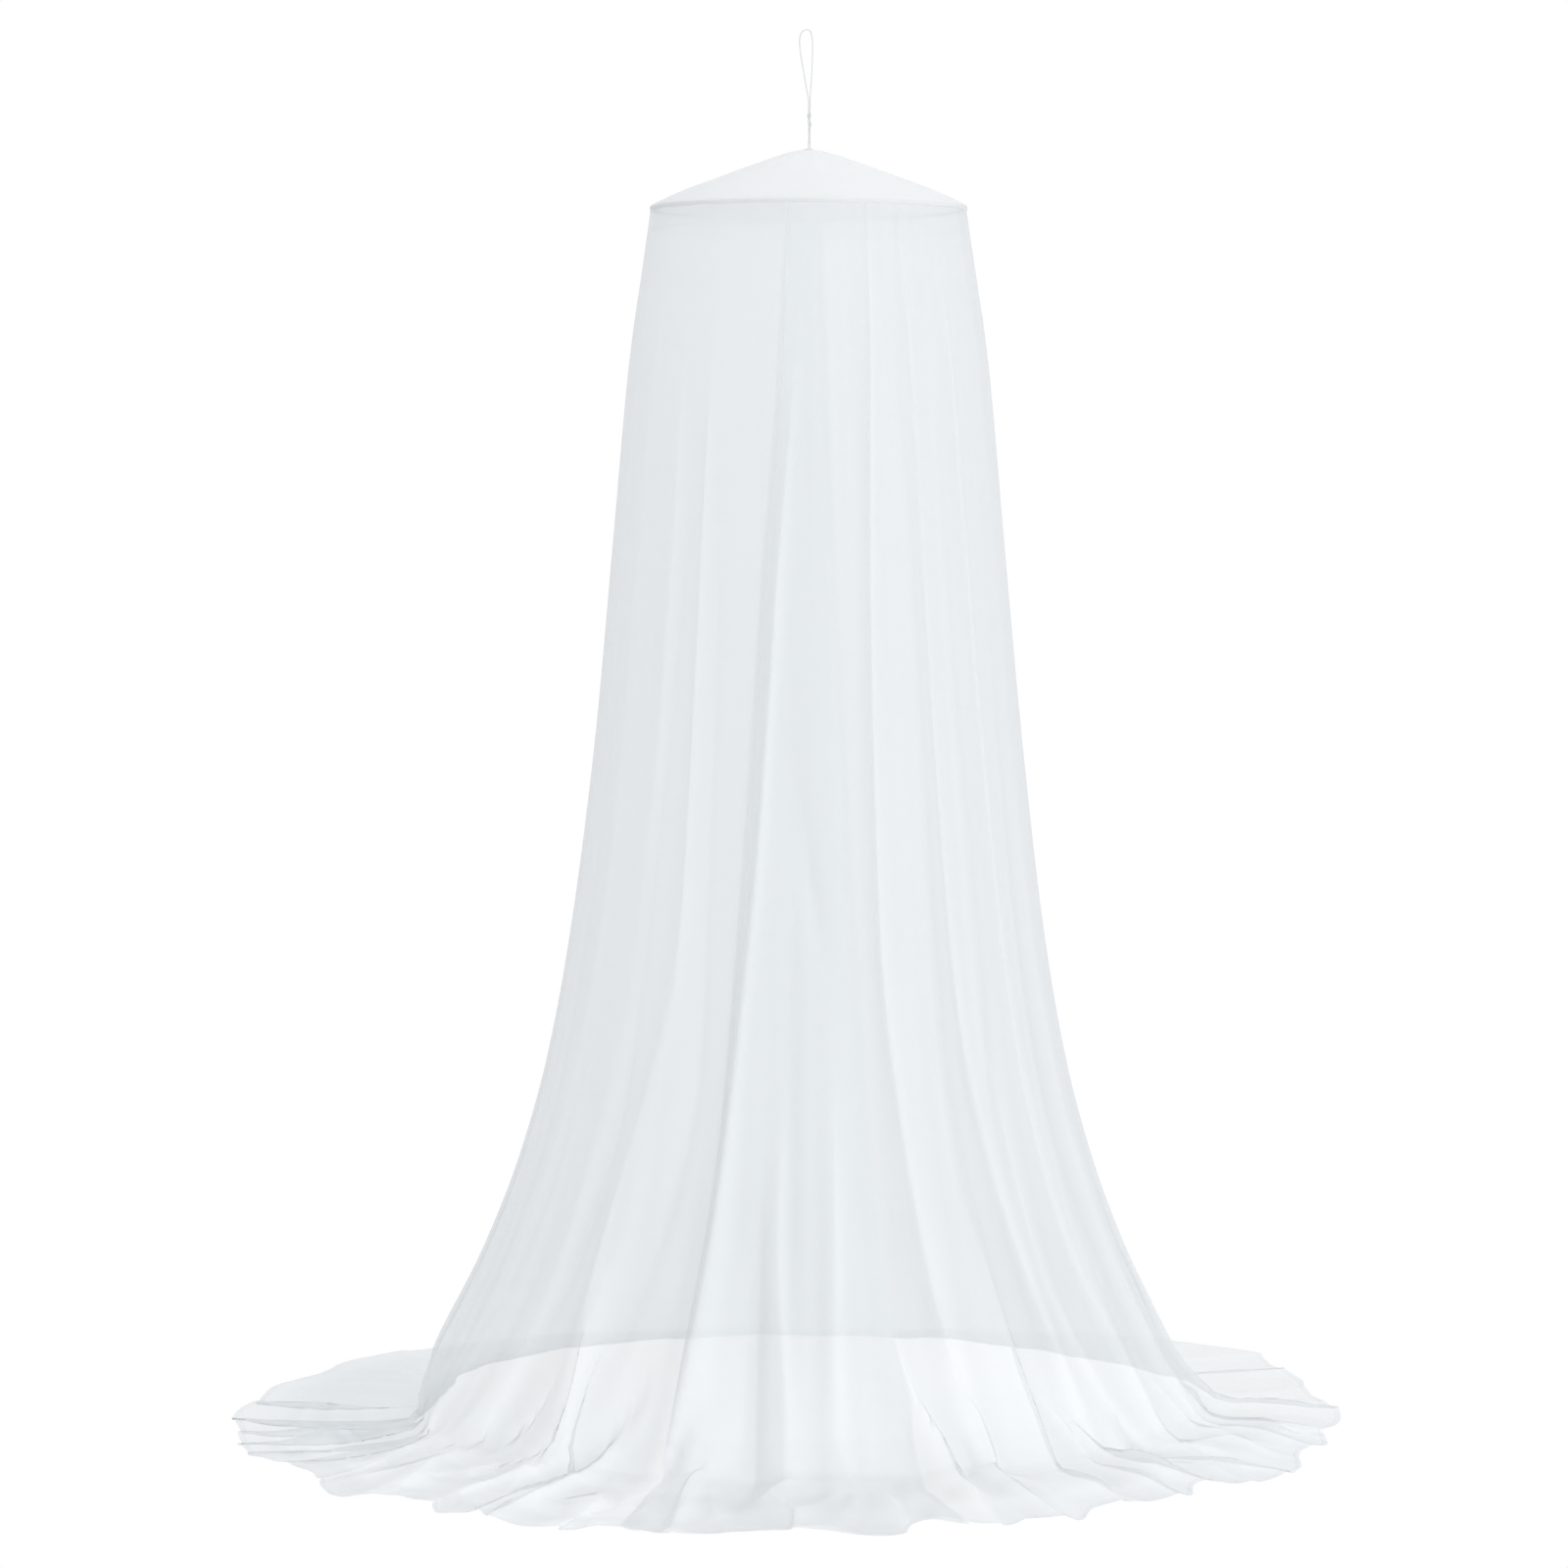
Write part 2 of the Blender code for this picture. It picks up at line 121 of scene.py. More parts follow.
# The hem's line on the floor.
HEM_LINE = (
    # azimuth, radius
    (-172, 0.845),
    (-160, 0.880),
    (-148, 0.935),
    (-136, 0.975),
    (-128, 1.000),
    (-119, 1.050),
    (-110, 1.040),
    (-102, 1.078),
    (-95, 1.072),
    (-88, 1.104),
    (-81, 1.092),
    (-74, 1.112),
    (-67, 1.122),
    (-60, 1.085),
    (-54, 1.095),
    (-46, 1.155),
    (-41.5, 1.085),
    (-38, 1.090),
    (-34.5, 1.136),
    (-31.5, 1.102),
    (-28, 1.162),
    (-23, 1.186),
    (-19, 1.092),
    (-15.5, 1.125),
    (-11, 1.160),
    (-7, 1.130),
    (-3.5, 1.100),
    (1, 1.095),
    (6, 1.155),
    (9, 1.070),
    (12, 1.035),
    (16, 1.125),
    (20, 1.085),
    (24, 1.122),
    (28, 1.042),
    (33, 1.050),
    (39, 1.050),
    (43, 1.000),
    (48, 1.058),
    (57, 1.055),
    (64, 1.005),
    (69, 1.026),
    (76, 1.000),
    (83, 1.020),
    (90, 1.012),
    (98, 0.990),
    (106, 1.022),
    (114, 1.030),
    (123, 1.080),
    (131, 1.040),
    (141, 1.000),
    (152, 0.915),
    (163, 0.872),
    (175, 0.832),
)

# Main folds: they stand outwards, and follow three azimuths down the net.
FOLD_LEVELS = (2.15, 1.10, 0.20)
FOLD_WIDTH_HIGH = 0.60
FOLD_ROUND = 0.90
CREASE_ROUND = 0.25
FOLDS = (
    # azimuth high, middle, low, half width low, depth low, lean
    (-7.0, -10.0, -15.5, 0.040, 0.024, -0.008),
    (5.0, 4.0, 4.0, 0.050, 0.016, 0.000),
    (20.0, 18.0, 23.0, 0.034, 0.018, -0.008),
    (34.0, 35.5, 43.0, 0.036, 0.022, -0.010),
    (51.0, 52.5, 58.0, 0.038, 0.022, -0.010),
    (66.0, 68.0, 71.0, 0.042, 0.030, -0.008),
    (82.0, 84.0, 86.0, 0.044, 0.022, 0.000),
    (99.0, 101.0, 104.0, 0.042, 0.032, 0.010),
    (117.0, 119.0, 121.0, 0.044, 0.036, 0.012),
    (134.0, 135.0, 139.0, 0.042, 0.030, -0.008),
    (152.0, 153.0, 155.0, 0.046, 0.036, 0.010),
    (170.0, 169.0, 171.0, 0.042, 0.026, 0.000),
    (187.0, 186.0, 188.0, 0.044, 0.034, -0.010),
    (204.0, 205.0, 204.0, 0.046, 0.028, 0.008),
    (222.0, 221.0, 221.0, 0.042, 0.034, -0.012),
    (239.0, 240.0, 238.0, 0.046, 0.024, 0.000),
    (256.0, 257.0, 254.0, 0.042, 0.018, 0.006),
    (272.0, 271.0, 270.0, 0.042, 0.014, 0.000),
    (288.0, 286.0, 284.0, 0.044, 0.020, -0.006),
    (303.0, 302.0, 298.0, 0.044, 0.024, 0.000),
    (316.0, 318.0, 311.0, 0.036, 0.018, 0.004),
    (329.0, 330.0, 324.0, 0.036, 0.034, 0.008),
)

# Creases, listed one by one. The reach is the height on the wall, and on the floor the way out from
#  the foot of the wall, taken below zero. A depth below zero is a trough, and a lean tips the
#  crease over towards a rising azimuth.
CREASES = (
    # rows of: reach, azimuth, half width, depth, lean
    # left wall
    ((1.95, -37, 0.010, 0, 0), (1.60, -38, 0.013, -0.0025, 0), (1.03, -41, 0.016, -0.0035, 0),
     (0.60, -42, 0.020, -0.006, 0), (0.26, -46, 0.024, -0.009, 0), (0.03, -50, 0.030, 0, 0)),
    ((2.05, -43, 0.010, 0, 0), (1.80, -42, 0.012, 0.0035, 0), (1.25, -43, 0.014, 0.0040, 0),
     (0.95, -45, 0.018, 0, 0)),
    ((1.98, -31, 0.006, 0, 0), (1.84, -31, 0.008, 0.0045, -0.003), (1.30, -31, 0.009, 0.0060, -0.004),
     (0.87, -31, 0.011, 0.0060, -0.003), (0.59, -36, 0.014, 0.0070, -0.004),
     (0.40, -38, 0.017, 0.0090, -0.005), (0.20, -36, 0.018, 0.0140, -0.008), (0.03, -34, 0.020, 0, 0)),
    ((1.85, -27, 0.012, 0, 0), (1.52, -26, 0.014, -0.0032, 0), (1.02, -25, 0.016, -0.0045, 0),
     (0.65, -24, 0.018, -0.007, 0), (0.31, -29, 0.022, -0.010, 0), (0.05, -31, 0.024, 0, 0)),
    ((1.15, -55, 0.020, 0, 0), (0.60, -58, 0.026, -0.006, 0), (0.25, -61, 0.030, -0.010, 0),
     (0.05, -64, 0.030, 0, 0)),
    # beside the lapping edge
    ((2.05, -4, 0.010, 0, 0), (1.85, -5.5, 0.012, 0.005, -0.002), (1.60, -8, 0.012, 0.009, -0.004),
     (1.12, -11, 0.013, 0.012, -0.006), (0.74, -14, 0.015, 0.014, -0.007),
     (0.42, -15.5, 0.018, 0.017, -0.008),
     (0.18, -16, 0.025, 0.020, -0.014), (0.00, -17.5, 0.026, 0.014, -0.010), (-0.14, -18, 0.026, 0, 0)),
    ((1.30, -3, 0.016, 0, 0), (1.05, 1, 0.020, -0.0060, 0), (0.86, 6, 0.018, 0, 0)),
    ((0.70, -5, 0.016, 0, 0), (0.42, -5, 0.018, 0.010, -0.004), (0.17, -3, 0.022, 0.016, -0.008),
     (-0.06, -2.5, 0.028, 0.010, -0.006), (-0.22, -2, 0.030, 0, 0)),
    ((0.50, -8.5, 0.014, 0, 0), (0.20, -8, 0.020, -0.014, 0), (0.00, -7, 0.022, -0.016, 0),
     (-0.18, -6.4, 0.024, -0.008, 0), (-0.30, -6, 0.024, 0, 0)),
    ((0.72, 5, 0.012, 0, 0), (0.47, 5, 0.014, 0.006, -0.003), (0.18, 4, 0.020, 0.008, -0.004),
     (0.00, 4, 0.022, 0, 0)),
    # right wall
    ((2.27, 20, 0.005, 0, 0), (2.15, 20, 0.006, 0.0060, -0.002), (1.90, 18.5, 0.0065, 0.0080, -0.004),
     (1.50, 17, 0.007, 0.0090, -0.005), (0.90, 17, 0.0085, 0.0110, -0.006),
     (0.60, 19.5, 0.010, 0.0110, -0.008), (0.30, 22, 0.014, 0.0150, -0.010), (0.08, 24, 0.018, 0, 0)),
    ((2.20, 27, 0.007, 0, 0), (2.00, 28, 0.008, -0.0015, 0), (1.69, 30, 0.010, -0.0025, 0),
     (1.20, 31, 0.012, -0.0040, 0), (0.74, 31, 0.015, -0.0070, 0), (0.45, 33, 0.018, -0.010, 0),
     (0.12, 35, 0.022, -0.010, 0), (0.00, 36, 0.026, 0, 0)),
    ((2.26, 32, 0.005, 0, 0), (2.12, 33, 0.006, 0.0060, -0.002), (1.64, 34, 0.007, 0.0080, -0.004),
     (1.11, 35, 0.0085, 0.0100, -0.006), (0.78, 36, 0.010, 0.0120, -0.008),
     (0.52, 39, 0.013, 0.0140, -0.010), (0.25, 42, 0.017, 0.0180, -0.012), (0.04, 45, 0.022, 0, 0)),
    ((1.95, 43, 0.012, 0, 0), (1.50, 44, 0.014, -0.0040, 0), (0.90, 46, 0.016, -0.0060, 0),
     (0.60, 43, 0.016, -0.0060, 0), (0.40, 44, 0.016, 0, 0)),
    ((0.78, 44, 0.012, 0, 0), (0.59, 45, 0.014, 0.010, -0.006), (0.30, 46, 0.018, 0.018, -0.010),
     (0.12, 50, 0.022, 0.020, -0.014), (-0.05, 54, 0.026, 0.016, -0.014), (-0.2, 57, 0.03, 0, 0)),
    ((2.20, 50, 0.006, 0, 0), (2.00, 50, 0.007, 0.0060, -0.003), (1.50, 51, 0.008, 0.0080, -0.004),
     (1.10, 52, 0.010, 0.0100, -0.006), (0.70, 53, 0.013, 0.0120, -0.008),
     (0.35, 55, 0.018, 0.0150, -0.010), (0.12, 59, 0.022, 0.016, -0.012), (-0.05, 62, 0.024, 0, 0)),
    ((1.60, 62, 0.014, 0, 0), (1.20, 62, 0.016, -0.0040, 0), (0.60, 64, 0.020, -0.0080, 0),
     (0.15, 67, 0.024, 0, 0)),
    # left foot: the broad leaf that laps over to the right, and the pleats of the tail
    ((0.30, -44, 0.060, 0, 0), (0.16, -47, 0.080, 0.016, 0), (0.03, -51, 0.095, 0.026, 0),
     (-0.08, -56, 0.090, 0.024, 0), (-0.20, -58, 0.070, 0, 0)),
    ((0.22, -39, 0.010, 0, 0), (0.14, -41, 0.012, 0.008, 0.024), (0.05, -43, 0.013, 0.012, 0.034),
     (-0.01, -47, 0.014, 0.013, 0.036), (-0.06, -52, 0.014, 0.008, 0.024), (-0.14, -56, 0.012, 0, 0)),
    ((0.12, -38, 0.012, 0, 0), (0.02, -37.5, 0.014, -0.016, 0), (-0.06, -36.5, 0.016, -0.008, 0),
     (-0.14, -36, 0.016, 0, 0)),
    ((0.36, -36, 0.012, 0, 0), (0.20, -36.5, 0.014, 0.012, 0.024), (0.08, -37.5, 0.015, 0.014, 0.036),
     (-0.02, -39, 0.016, 0.013, 0.036), (-0.16, -43, 0.016, 0.008, 0.026), (-0.32, -46, 0.016, 0, 0)),
    ((0.14, -33.5, 0.012, 0, 0), (0.04, -33.0, 0.014, 0.008, -0.010), (-0.08, -34, 0.015, 0.008, -0.008),
     (-0.22, -37, 0.016, 0.012, 0.010), (-0.32, -38, 0.016, 0.016, 0.014)),
    ((0.25, -31.5, 0.014, 0, 0), (0.17, -31.5, 0.014, 0.006, -0.026), (0.08, -30.6, 0.014, 0.008, -0.040),
     (-0.02, -29.6, 0.014, 0.008, -0.040), (-0.14, -30, 0.014, 0.010, -0.030),
     (-0.28, -31, 0.014, 0.012, -0.016)),
    ((-0.10, -57, 0.010, 0, 0), (-0.18, -55.5, 0.010, 0.008, 0.010), (-0.33, -53, 0.010, 0.008, 0.008)),
    ((-0.06, -49, 0.016, 0, 0), (-0.16, -46, 0.018, 0.010, 0.014), (-0.34, -43.5, 0.02, 0.014, 0.02)),
    ((0.10, -66, 0.018, 0, 0), (-0.10, -69, 0.018, 0.008, 0.012), (-0.36, -70, 0.020, 0.010, 0.012)),
    ((0.08, -74, 0.016, 0, 0), (-0.10, -76, 0.018, 0.007, -0.008), (-0.36, -77, 0.020, 0.010, -0.010)),
    ((0.10, -81, 0.016, 0, 0), (-0.08, -82, 0.018, 0.007, 0.008), (-0.36, -83, 0.020, 0.010, 0.010)),
    ((0.12, -88, 0.016, 0, 0), (-0.06, -89, 0.018, 0.008, 0.008), (-0.36, -90, 0.020, 0.012, 0.012)),
    ((0.12, -96, 0.016, 0, 0), (-0.06, -97, 0.018, 0.008, -0.008), (-0.34, -98, 0.020, 0.012, -0.012)),
    ((0.10, -104, 0.016, 0, 0), (-0.06, -105, 0.018, 0.010, 0.010), (-0.30, -106, 0.020, 0.014, 0.012)),
    ((0.10, -112, 0.016, 0, 0), (-0.06, -115, 0.018, 0.022, 0.024), (-0.28, -116, 0.02, 0.022, 0.02)),
    # front foot
    ((0.20, -24, 0.010, 0, 0), (0.10, -26, 0.012, -0.016, 0), (-0.02, -29, 0.014, -0.018, 0),
     (-0.14, -30.5, 0.016, -0.008, 0), (-0.22, -31, 0.018, 0, 0)),
    ((0.14, -26, 0.014, 0, 0), (0.02, -26.5, 0.016, 0.020, -0.022), (-0.16, -28, 0.018, 0.018, -0.024),
     (-0.36, -28, 0.020, 0.020, -0.020)),
    ((-0.10, -23.5, 0.016, 0, 0), (-0.22, -23, 0.020, 0.014, 0.022), (-0.38, -23.5, 0.022, 0.020, 0.026)),
    ((0.14, -14, 0.012, 0, 0), (0.04, -16, 0.014, -0.014, 0), (-0.10, -17, 0.016, 0, 0)),
    ((0.08, -11.5, 0.016, 0, 0), (-0.10, -12, 0.018, 0.018, -0.020), (-0.36, -11, 0.020, 0.018, -0.02)),
    ((-0.10, 8, 0.020, 0, 0), (-0.22, 7.5, 0.026, 0.012, 0.020), (-0.37, 6.5, 0.028, 0.010, 0.03)),
    ((-0.16, 1, 0.020, 0, 0), (-0.24, 0.5, 0.022, 0.008, -0.014), (-0.33, 0, 0.024, 0.008, -0.026)),
    ((0.24, 13.5, 0.008, 0, 0), (0.14, 14.6, 0.011, 0.010, 0.017), (0.08, 16.6, 0.012, 0.013, 0.022),
     (0.00, 17.2, 0.013, 0.014, 0.024), (-0.10, 16.4, 0.015, 0.013, 0.022),
     (-0.25, 15.6, 0.018, 0.014, 0.020)),
    ((0.10, 21.0, 0.010, 0, 0), (0.02, 21.8, 0.012, -0.014, 0), (-0.08, 19.5, 0.012, 0, 0)),
    ((0.17, 21.5, 0.008, 0, 0), (0.12, 23.4, 0.011, 0.010, 0.017), (0.02, 23.6, 0.013, 0.013, 0.022),
     (-0.10, 21.8, 0.016, 0.012, 0.020), (-0.22, 21.8, 0.018, 0.014, 0.020),
     (-0.32, 22.3, 0.020, 0.014, 0.018)),
    ((0.50, 31.5, 0.010, 0, 0), (0.30, 32.5, 0.014, 0.005, 0.022), (0.18, 32.2, 0.015, 0.008, 0.034),
     (0.08, 32.0, 0.017, 0.009, 0.042), (-0.10, 30.6, 0.018, 0.009, 0.036),
     (-0.26, 29.6, 0.018, 0.010, 0.026)),
    ((0.16, 35.5, 0.010, 0, 0), (0.10, 37, 0.012, 0.010, 0.016), (0.05, 38.2, 0.013, 0.012, 0.020),
     (-0.06, 37.4, 0.016, 0.012, 0.020), (-0.16, 36.6, 0.018, 0.010, 0.018),
     (-0.28, 36.0, 0.018, 0.012, 0.016)),
    ((0.12, 51, 0.012, 0, 0), (0.00, 51, 0.014, -0.016, 0), (-0.10, 50, 0.016, 0, 0)),
    ((0.10, 39.5, 0.011, 0, 0), (0.03, 40.6, 0.013, 0.014, 0.024), (-0.10, 42.6, 0.014, 0.018, 0.030),
     (-0.18, 43.2, 0.015, 0.012, 0.022), (-0.28, 44, 0.015, 0.012, 0.018)),
    ((-0.04, 48, 0.014, 0, 0), (-0.14, 50, 0.015, 0.014, 0.020), (-0.26, 53, 0.018, 0.016, 0.020)),
    # right foot: crowded, with a peaked lobe and a curled end
    ((0.11, 69, 0.010, 0, 0), (0.065, 74, 0.012, 0.007, 0.009), (0.01, 82, 0.014, 0.009, 0.011),
     (-0.10, 87, 0.016, 0.008, 0.011)),
    ((0.14, 65, 0.014, 0, 0), (0.02, 66, 0.018, 0.014, 0.016), (-0.10, 63, 0.020, 0.014, 0.018),
     (-0.24, 60, 0.020, 0, 0)),
    ((0.10, 60, 0.012, 0, 0), (0.00, 62, 0.014, -0.014, 0), (-0.10, 57, 0.014, 0, 0)),
    ((0.14, 76, 0.014, 0, 0), (0.00, 75, 0.016, 0.024, -0.024), (-0.24, 72, 0.018, 0.016, -0.018)),
    ((0.12, 90, 0.014, 0, 0), (-0.06, 88, 0.016, 0.026, 0.026), (-0.25, 86, 0.018, 0.034, 0.030)),
    ((0.10, 97, 0.014, 0, 0), (-0.08, 96, 0.016, 0.022, -0.024), (-0.24, 94, 0.018, 0.040, -0.03)),
    ((0.06, 109, 0.018, 0, 0), (-0.10, 110, 0.024, 0.024, 0.026), (-0.25, 111, 0.030, 0.050, 0.03)),
    ((0.06, 122, 0.020, 0, 0), (-0.10, 122, 0.024, 0.022, -0.024), (-0.30, 122, 0.028, 0.038, -0.03)),
)

# Loose ruffles of the hem between those creases. Leans are shares of the width, starts are
# reaches, and sways are degrees.
RUFFLE_SEED = 41
RUFFLES = 60
RUFFLE_WIDTH = (0.018, 0.040)
RUFFLE_DEPTH = (0.008, 0.022)
RUFFLE_LEAN = 0.9
RUFFLE_START = (-0.06, 0.14)
RUFFLE_SWAY = (-3.0, 3.0)
RUFFLE_FADE = (0.3, 1.0)
# They are calmer between these azimuths at the front, and past this one behind.
CALM_FRONT = (-64.0, 62.0)
CALM_SHARE = 0.6
BACK_START = 138.0
BACK_SHARE = 0.5
# Dense pleats of the two side tails.
TAILS = (
    # azimuths, number, share of the depth, lean, share that lap the other way
    (-128.0, -59.0, 26, 0.7, 0.6, 0.25),
    (60.0, 124.0, 16, 0.8, 0.5, 0.5),
)
TAIL_SEED = 5
TAIL_WIDTH = (0.011, 0.018)
TAIL_DEPTH = (0.005, 0.011)
TAIL_LEAN = (0.012, 0.021)
TAIL_START = (0.00, 0.10)
TAIL_SWAY = (-2.0, 2.0)
# Broad flat pleats stacked in the left tail: azimuth, lean.
STACK = (
    (-62.0, 0.100),
    (-67.0, 0.120),
    (-73.0, 0.130),
    (-79.0, 0.135),
    (-86.0, 0.145),
    (-94.0, 0.110),
)
STACK_WIDTH = 0.020
STACK_DEPTH = 0.002
# Folds lie lowest where they point straight sideways: azimuth either way, half width, share
# taken off, and the reach over which they sink to that.
LOW_SIDE = (93.0, 21.0, 0.72)
LOW_SIDE_REACH = (0.06, -0.06)
# Towards the hem they lie lower: share taken off, and where on the way over the floor.
HEM_LOWER = 0.42
HEM_LOWER_FROM = (0.40, 0.95)
# Behind, the net meets the floor with hardly a fold.
BEHIND = (84.0, 118.0)
BEHIND_LEVELS = (0.22, 0.02)
BEHIND_SHARE = 0.22
# Its wall runs straight down to its foot there, below this height and radius. That high up it is
# moved by this share of the foot's shift.
BACK_SLOPE = (112.0, 142.0)
BACK_SLOPE_TOP = (0.320, 0.587)
BACK_SLOPE_SHIFT = 0.58
# Small gathers under the hoop: heights where they start and are full, and where they have ended.
GATHERS = 44
GATHER_SPAN = (18.0, 300.0)
GATHER_TOP = (2.292, 2.200)
GATHER_END = (1.3, 2.0)
GATHER_WIDTH = (0.006, 0.011)
GATHER_DEPTH = (-0.0030, 0.0040)
GATHERS_FRONT = 0.6
GATHERS_BEHIND = 0.4
GATHERS_FRONT_TO = 75.0
# The fine unevenness of cloth that was folded in its packing: waves round the net, and drifts.
STREAK_SEED = 7
STREAKS = 12
STREAK_DEPTH = 0.0004
STREAK_WAVES = (14, 90)
STREAK_DRIFT = (-2.0, 2.0)
CRUMPLES = 22
CRUMPLE_DEPTH = 0.0004
CRUMPLE_WAVES = (30, 150)
CRUMPLE_DRIFT = (-60.0, 60.0)

# The two upright edges: the right one lies outside.
OVER_EDGE = (
    # height, azimuth
    (2.300, -8.5),
    (1.940, -10.0),
    (1.770, -11.6),
    (1.600, -13.2),
    (1.260, -15.2),
    (0.880, -16.8),
    (0.560, -17.2),
    (0.290, -18.0),
    (0.000, -17.4),
)
UNDER_EDGE = (
    # height, azimuth
    (2.300, 4.5),
    (2.070, 5.2),
    (1.730, 7.2),
    (1.470, 8.8),
    (1.120, 10.3),
    (0.840, 11.8),
    (0.470, 13.2),
    (0.000, 14.5),
)
# The edge that lies inside reaches less far over the floor, and lies flatter there: azimuths,
# share of the way taken off, share of the folds taken off.
UNDER_FROM = (338.0, 350.0)
UNDER_SHORTER = 0.10
UNDER_FLATTER = 0.50
# The outer edge stands clear of the inner one: how far at these heights, and the azimuths past
# which it lies as the rest does.
LAP_CLEAR_HIGH = 0.0030
LAP_CLEAR_LOW = 0.0110
LAP_CLEAR_HEIGHTS = (HOOP_HEIGHT, 1.2)
LAP_RETURN = (18.0, 40.0)

# Where the cloth folds back under itself along the foot.
FOOT_TUCKS = (
    # azimuth, half width, way back
    (-94.0, 23.0, 0.088),
    (128.0, 16.0, 0.030),
)
# How far past the foot that is, how far it spreads out and in from there, and the cloth's lift
# over it, which is whole where the way back is this far or further.
TUCK_START = 0.010
TUCK_SPAN = (0.090, 0.075)
TUCK_LIFT = 0.003
TUCK_FULL = 0.05

# The crests are painted lighter and the hollows painted darker, a painted highlight and painted shade:
# columns each way, and the height that is a full crest.
# It shows less behind: azimuths, share taken off.
PAINTED_SHADE_HALF = 9
PAINTED_SHADE_FULL = 0.0035
PAINTED_SHADE_BEHIND = (75.0, 100.0)
PAINTED_SHADE_LESS = 0.6

# Towards the floor the front is gathered more finely than its mesh, and covers more: the reach
# over which it comes to do so, azimuths over which that ends, and the cover gained. Where the
# edges lap it hangs smooth, between these azimuths.
GATHERED_REACH = (0.22, 0.04)
GATHERED_TO = (70.0, 90.0)
GATHERED_COVER = 0.10
SMOOTH_LAP = ((-23.0, -18.0), (19.0, 14.0))
# The back of the left tail is gathered more still: azimuth, half width, how many times that cover.
# It begins and ends over these reaches.
TAIL_GATHERED = (-104.0, 24.0, 3.2)
TAIL_GATHERED_REACH = ((0.05, -0.01), (-0.16, -0.34))

# How finely the net is divided: closer towards the foot, and over the front within this azimuth.
NET_COLUMNS = 1040
NET_WALL_STEPS = 50
NET_WALL_CLOSER = 0.75
NET_FLOOR_STEPS = 44
FRONT_HALF = 75.0
FRONT_SOFT = 15.0
FRONT_CLOSER = 2.0
# How far the cloth billows over the floor.
FLOOR_LOFT = (
    # reach, loft
    (0.10, 0.000),
    (0.00, 0.010),
    (-0.08, 0.014),
    (-0.20, 0.009),
    (-0.34, 0.003),
)
# It hardly billows on the left: azimuth, half width, share taken off. What lies on the floor, past
# this reach, loses this share of its folds there too.
FLAT_SIDE = (-98.0, 34.0, 0.85)
FLAT_SIDE_FOLDS = 0.6
LYING_REACH = (0.04, -0.04)

# ---------------------------------------------------------------- roof, band, patch and string
ROOF_CROWN = ROOF_HIGH.z - HOOP_LEVEL
ROOF_SECTION = (
    # radius, height over the hoop
    (0.0000, ROOF_CROWN),
    (0.0250, 0.1106),
    (0.0650, 0.0990),
    (0.1200, 0.0796),
    (0.1850, 0.0556),
    (0.2400, 0.0346),
    (0.2800, 0.0164),
    (0.2965, 0.0080),
    (0.3005, 0.0044),
    (0.3010, -0.0030),
)
ROOF_COLUMNS = 180
ROOF_ROWS = 54
# Where the cloth is pulled in between the point and the hoop, within this radius.
ROOF_PULLS_TO = 0.29
ROOF_PULLS = (
    # azimuth, half width in degrees, depth
    (-148, 9, 0.0012),
    (-118, 7, 0.0010),
    (-86, 10, 0.0014),
    (-57, 8, 0.0010),
    (-31, 6, 0.0012),
    (-6, 8, 0.0009),
    (17, 6, 0.0012),
    (44, 9, 0.0010),
    (73, 7, 0.0014),
    (104, 8, 0.0010),
    (139, 9, 0.0013),
    (171, 7, 0.0010),
)
BAND_COLUMNS = 360
BAND_OUTSIDE_ROWS = 22
BAND_OVER_ROWS = 13
BAND_LIP_ROWS = 5
BAND_GAP = 0.0003
BAND_SHEET = 0.0012
BAND_LIP = 0.006
# Puckers of its sewing lie mostly inwards, and drift round the ring.
BAND_PUCKERS = 46
BAND_PUCKER_DEPTH = 0.0004
BAND_PUCKER_IN = 0.6
BAND_PUCKER_DRIFT = 1.7
BAND_PUCKER_DRIFTS = 5.0

PATCH_SIDES = 48
PATCH_RINGS = (0.0010, 0.0012, 0.0016, 0.0018)
PATCH_EDGE = 0.0003
# The patch is level to this share of its radius and dips from there to its rim. Its stitches
# press it in at a share of the radius: that share, half their width, depth.
PATCH_LEVEL = 0.25
PATCH_SEWN = (0.86, 0.06, 0.0004)
PATCH_BORDER = 0.0095

CORD_RADIUS = 0.0012
CORD_SIDES = 12
CORD_STEP = 0.0012
CORD_PLIES = 3
CORD_PLY_DEPTH = 0.13
# How fast the plies turn, in radians a metre.
CORD_TWIST = 380.0
SEAT_GAP = 0.0003
LOOP_ROUTE = (
    # x, z
    (0.0027, KNOT_HIGH.z + SEAT_GAP),
    (0.0028, -0.1400),
    (0.0030, -0.1250),
    (0.0052, -0.0950),
    (0.0068, -0.0620),
    (0.0074, -0.0320),
    (0.0066, -0.0140),
    (0.0040, -0.0035),
    (0.0000, CORD_RADIUS),
    (-0.0060, CORD_RADIUS),
    (-0.0125, -0.0030),
    (-0.0166, -0.0130),
    (-0.0166, -0.0300),
    (-0.0132, -0.0560),
    (-0.0076, -0.0880),
    (-0.0018, -0.1200),
    (-0.0001, -0.1300),
    (-0.0001, KNOT_HIGH.z + SEAT_GAP),
)
# The pair of strings under the knot.
PAIR_ROUTE = (
    # share, half distance, turn in degrees
    (0.00, 0.0014, 0),
    (0.10, 0.0017, 0),
    (0.24, 0.0016, 30),
    (0.34, 0.0014, 150),
    (0.44, 0.0013, 330),
    (0.54, 0.0013, 510),
    (0.64, 0.0013, 690),
    (0.73, 0.0014, 840),
    (0.84, 0.0017, 900),
    (1.00, 0.0018, 900),
)
PAIR_STEPS = 80
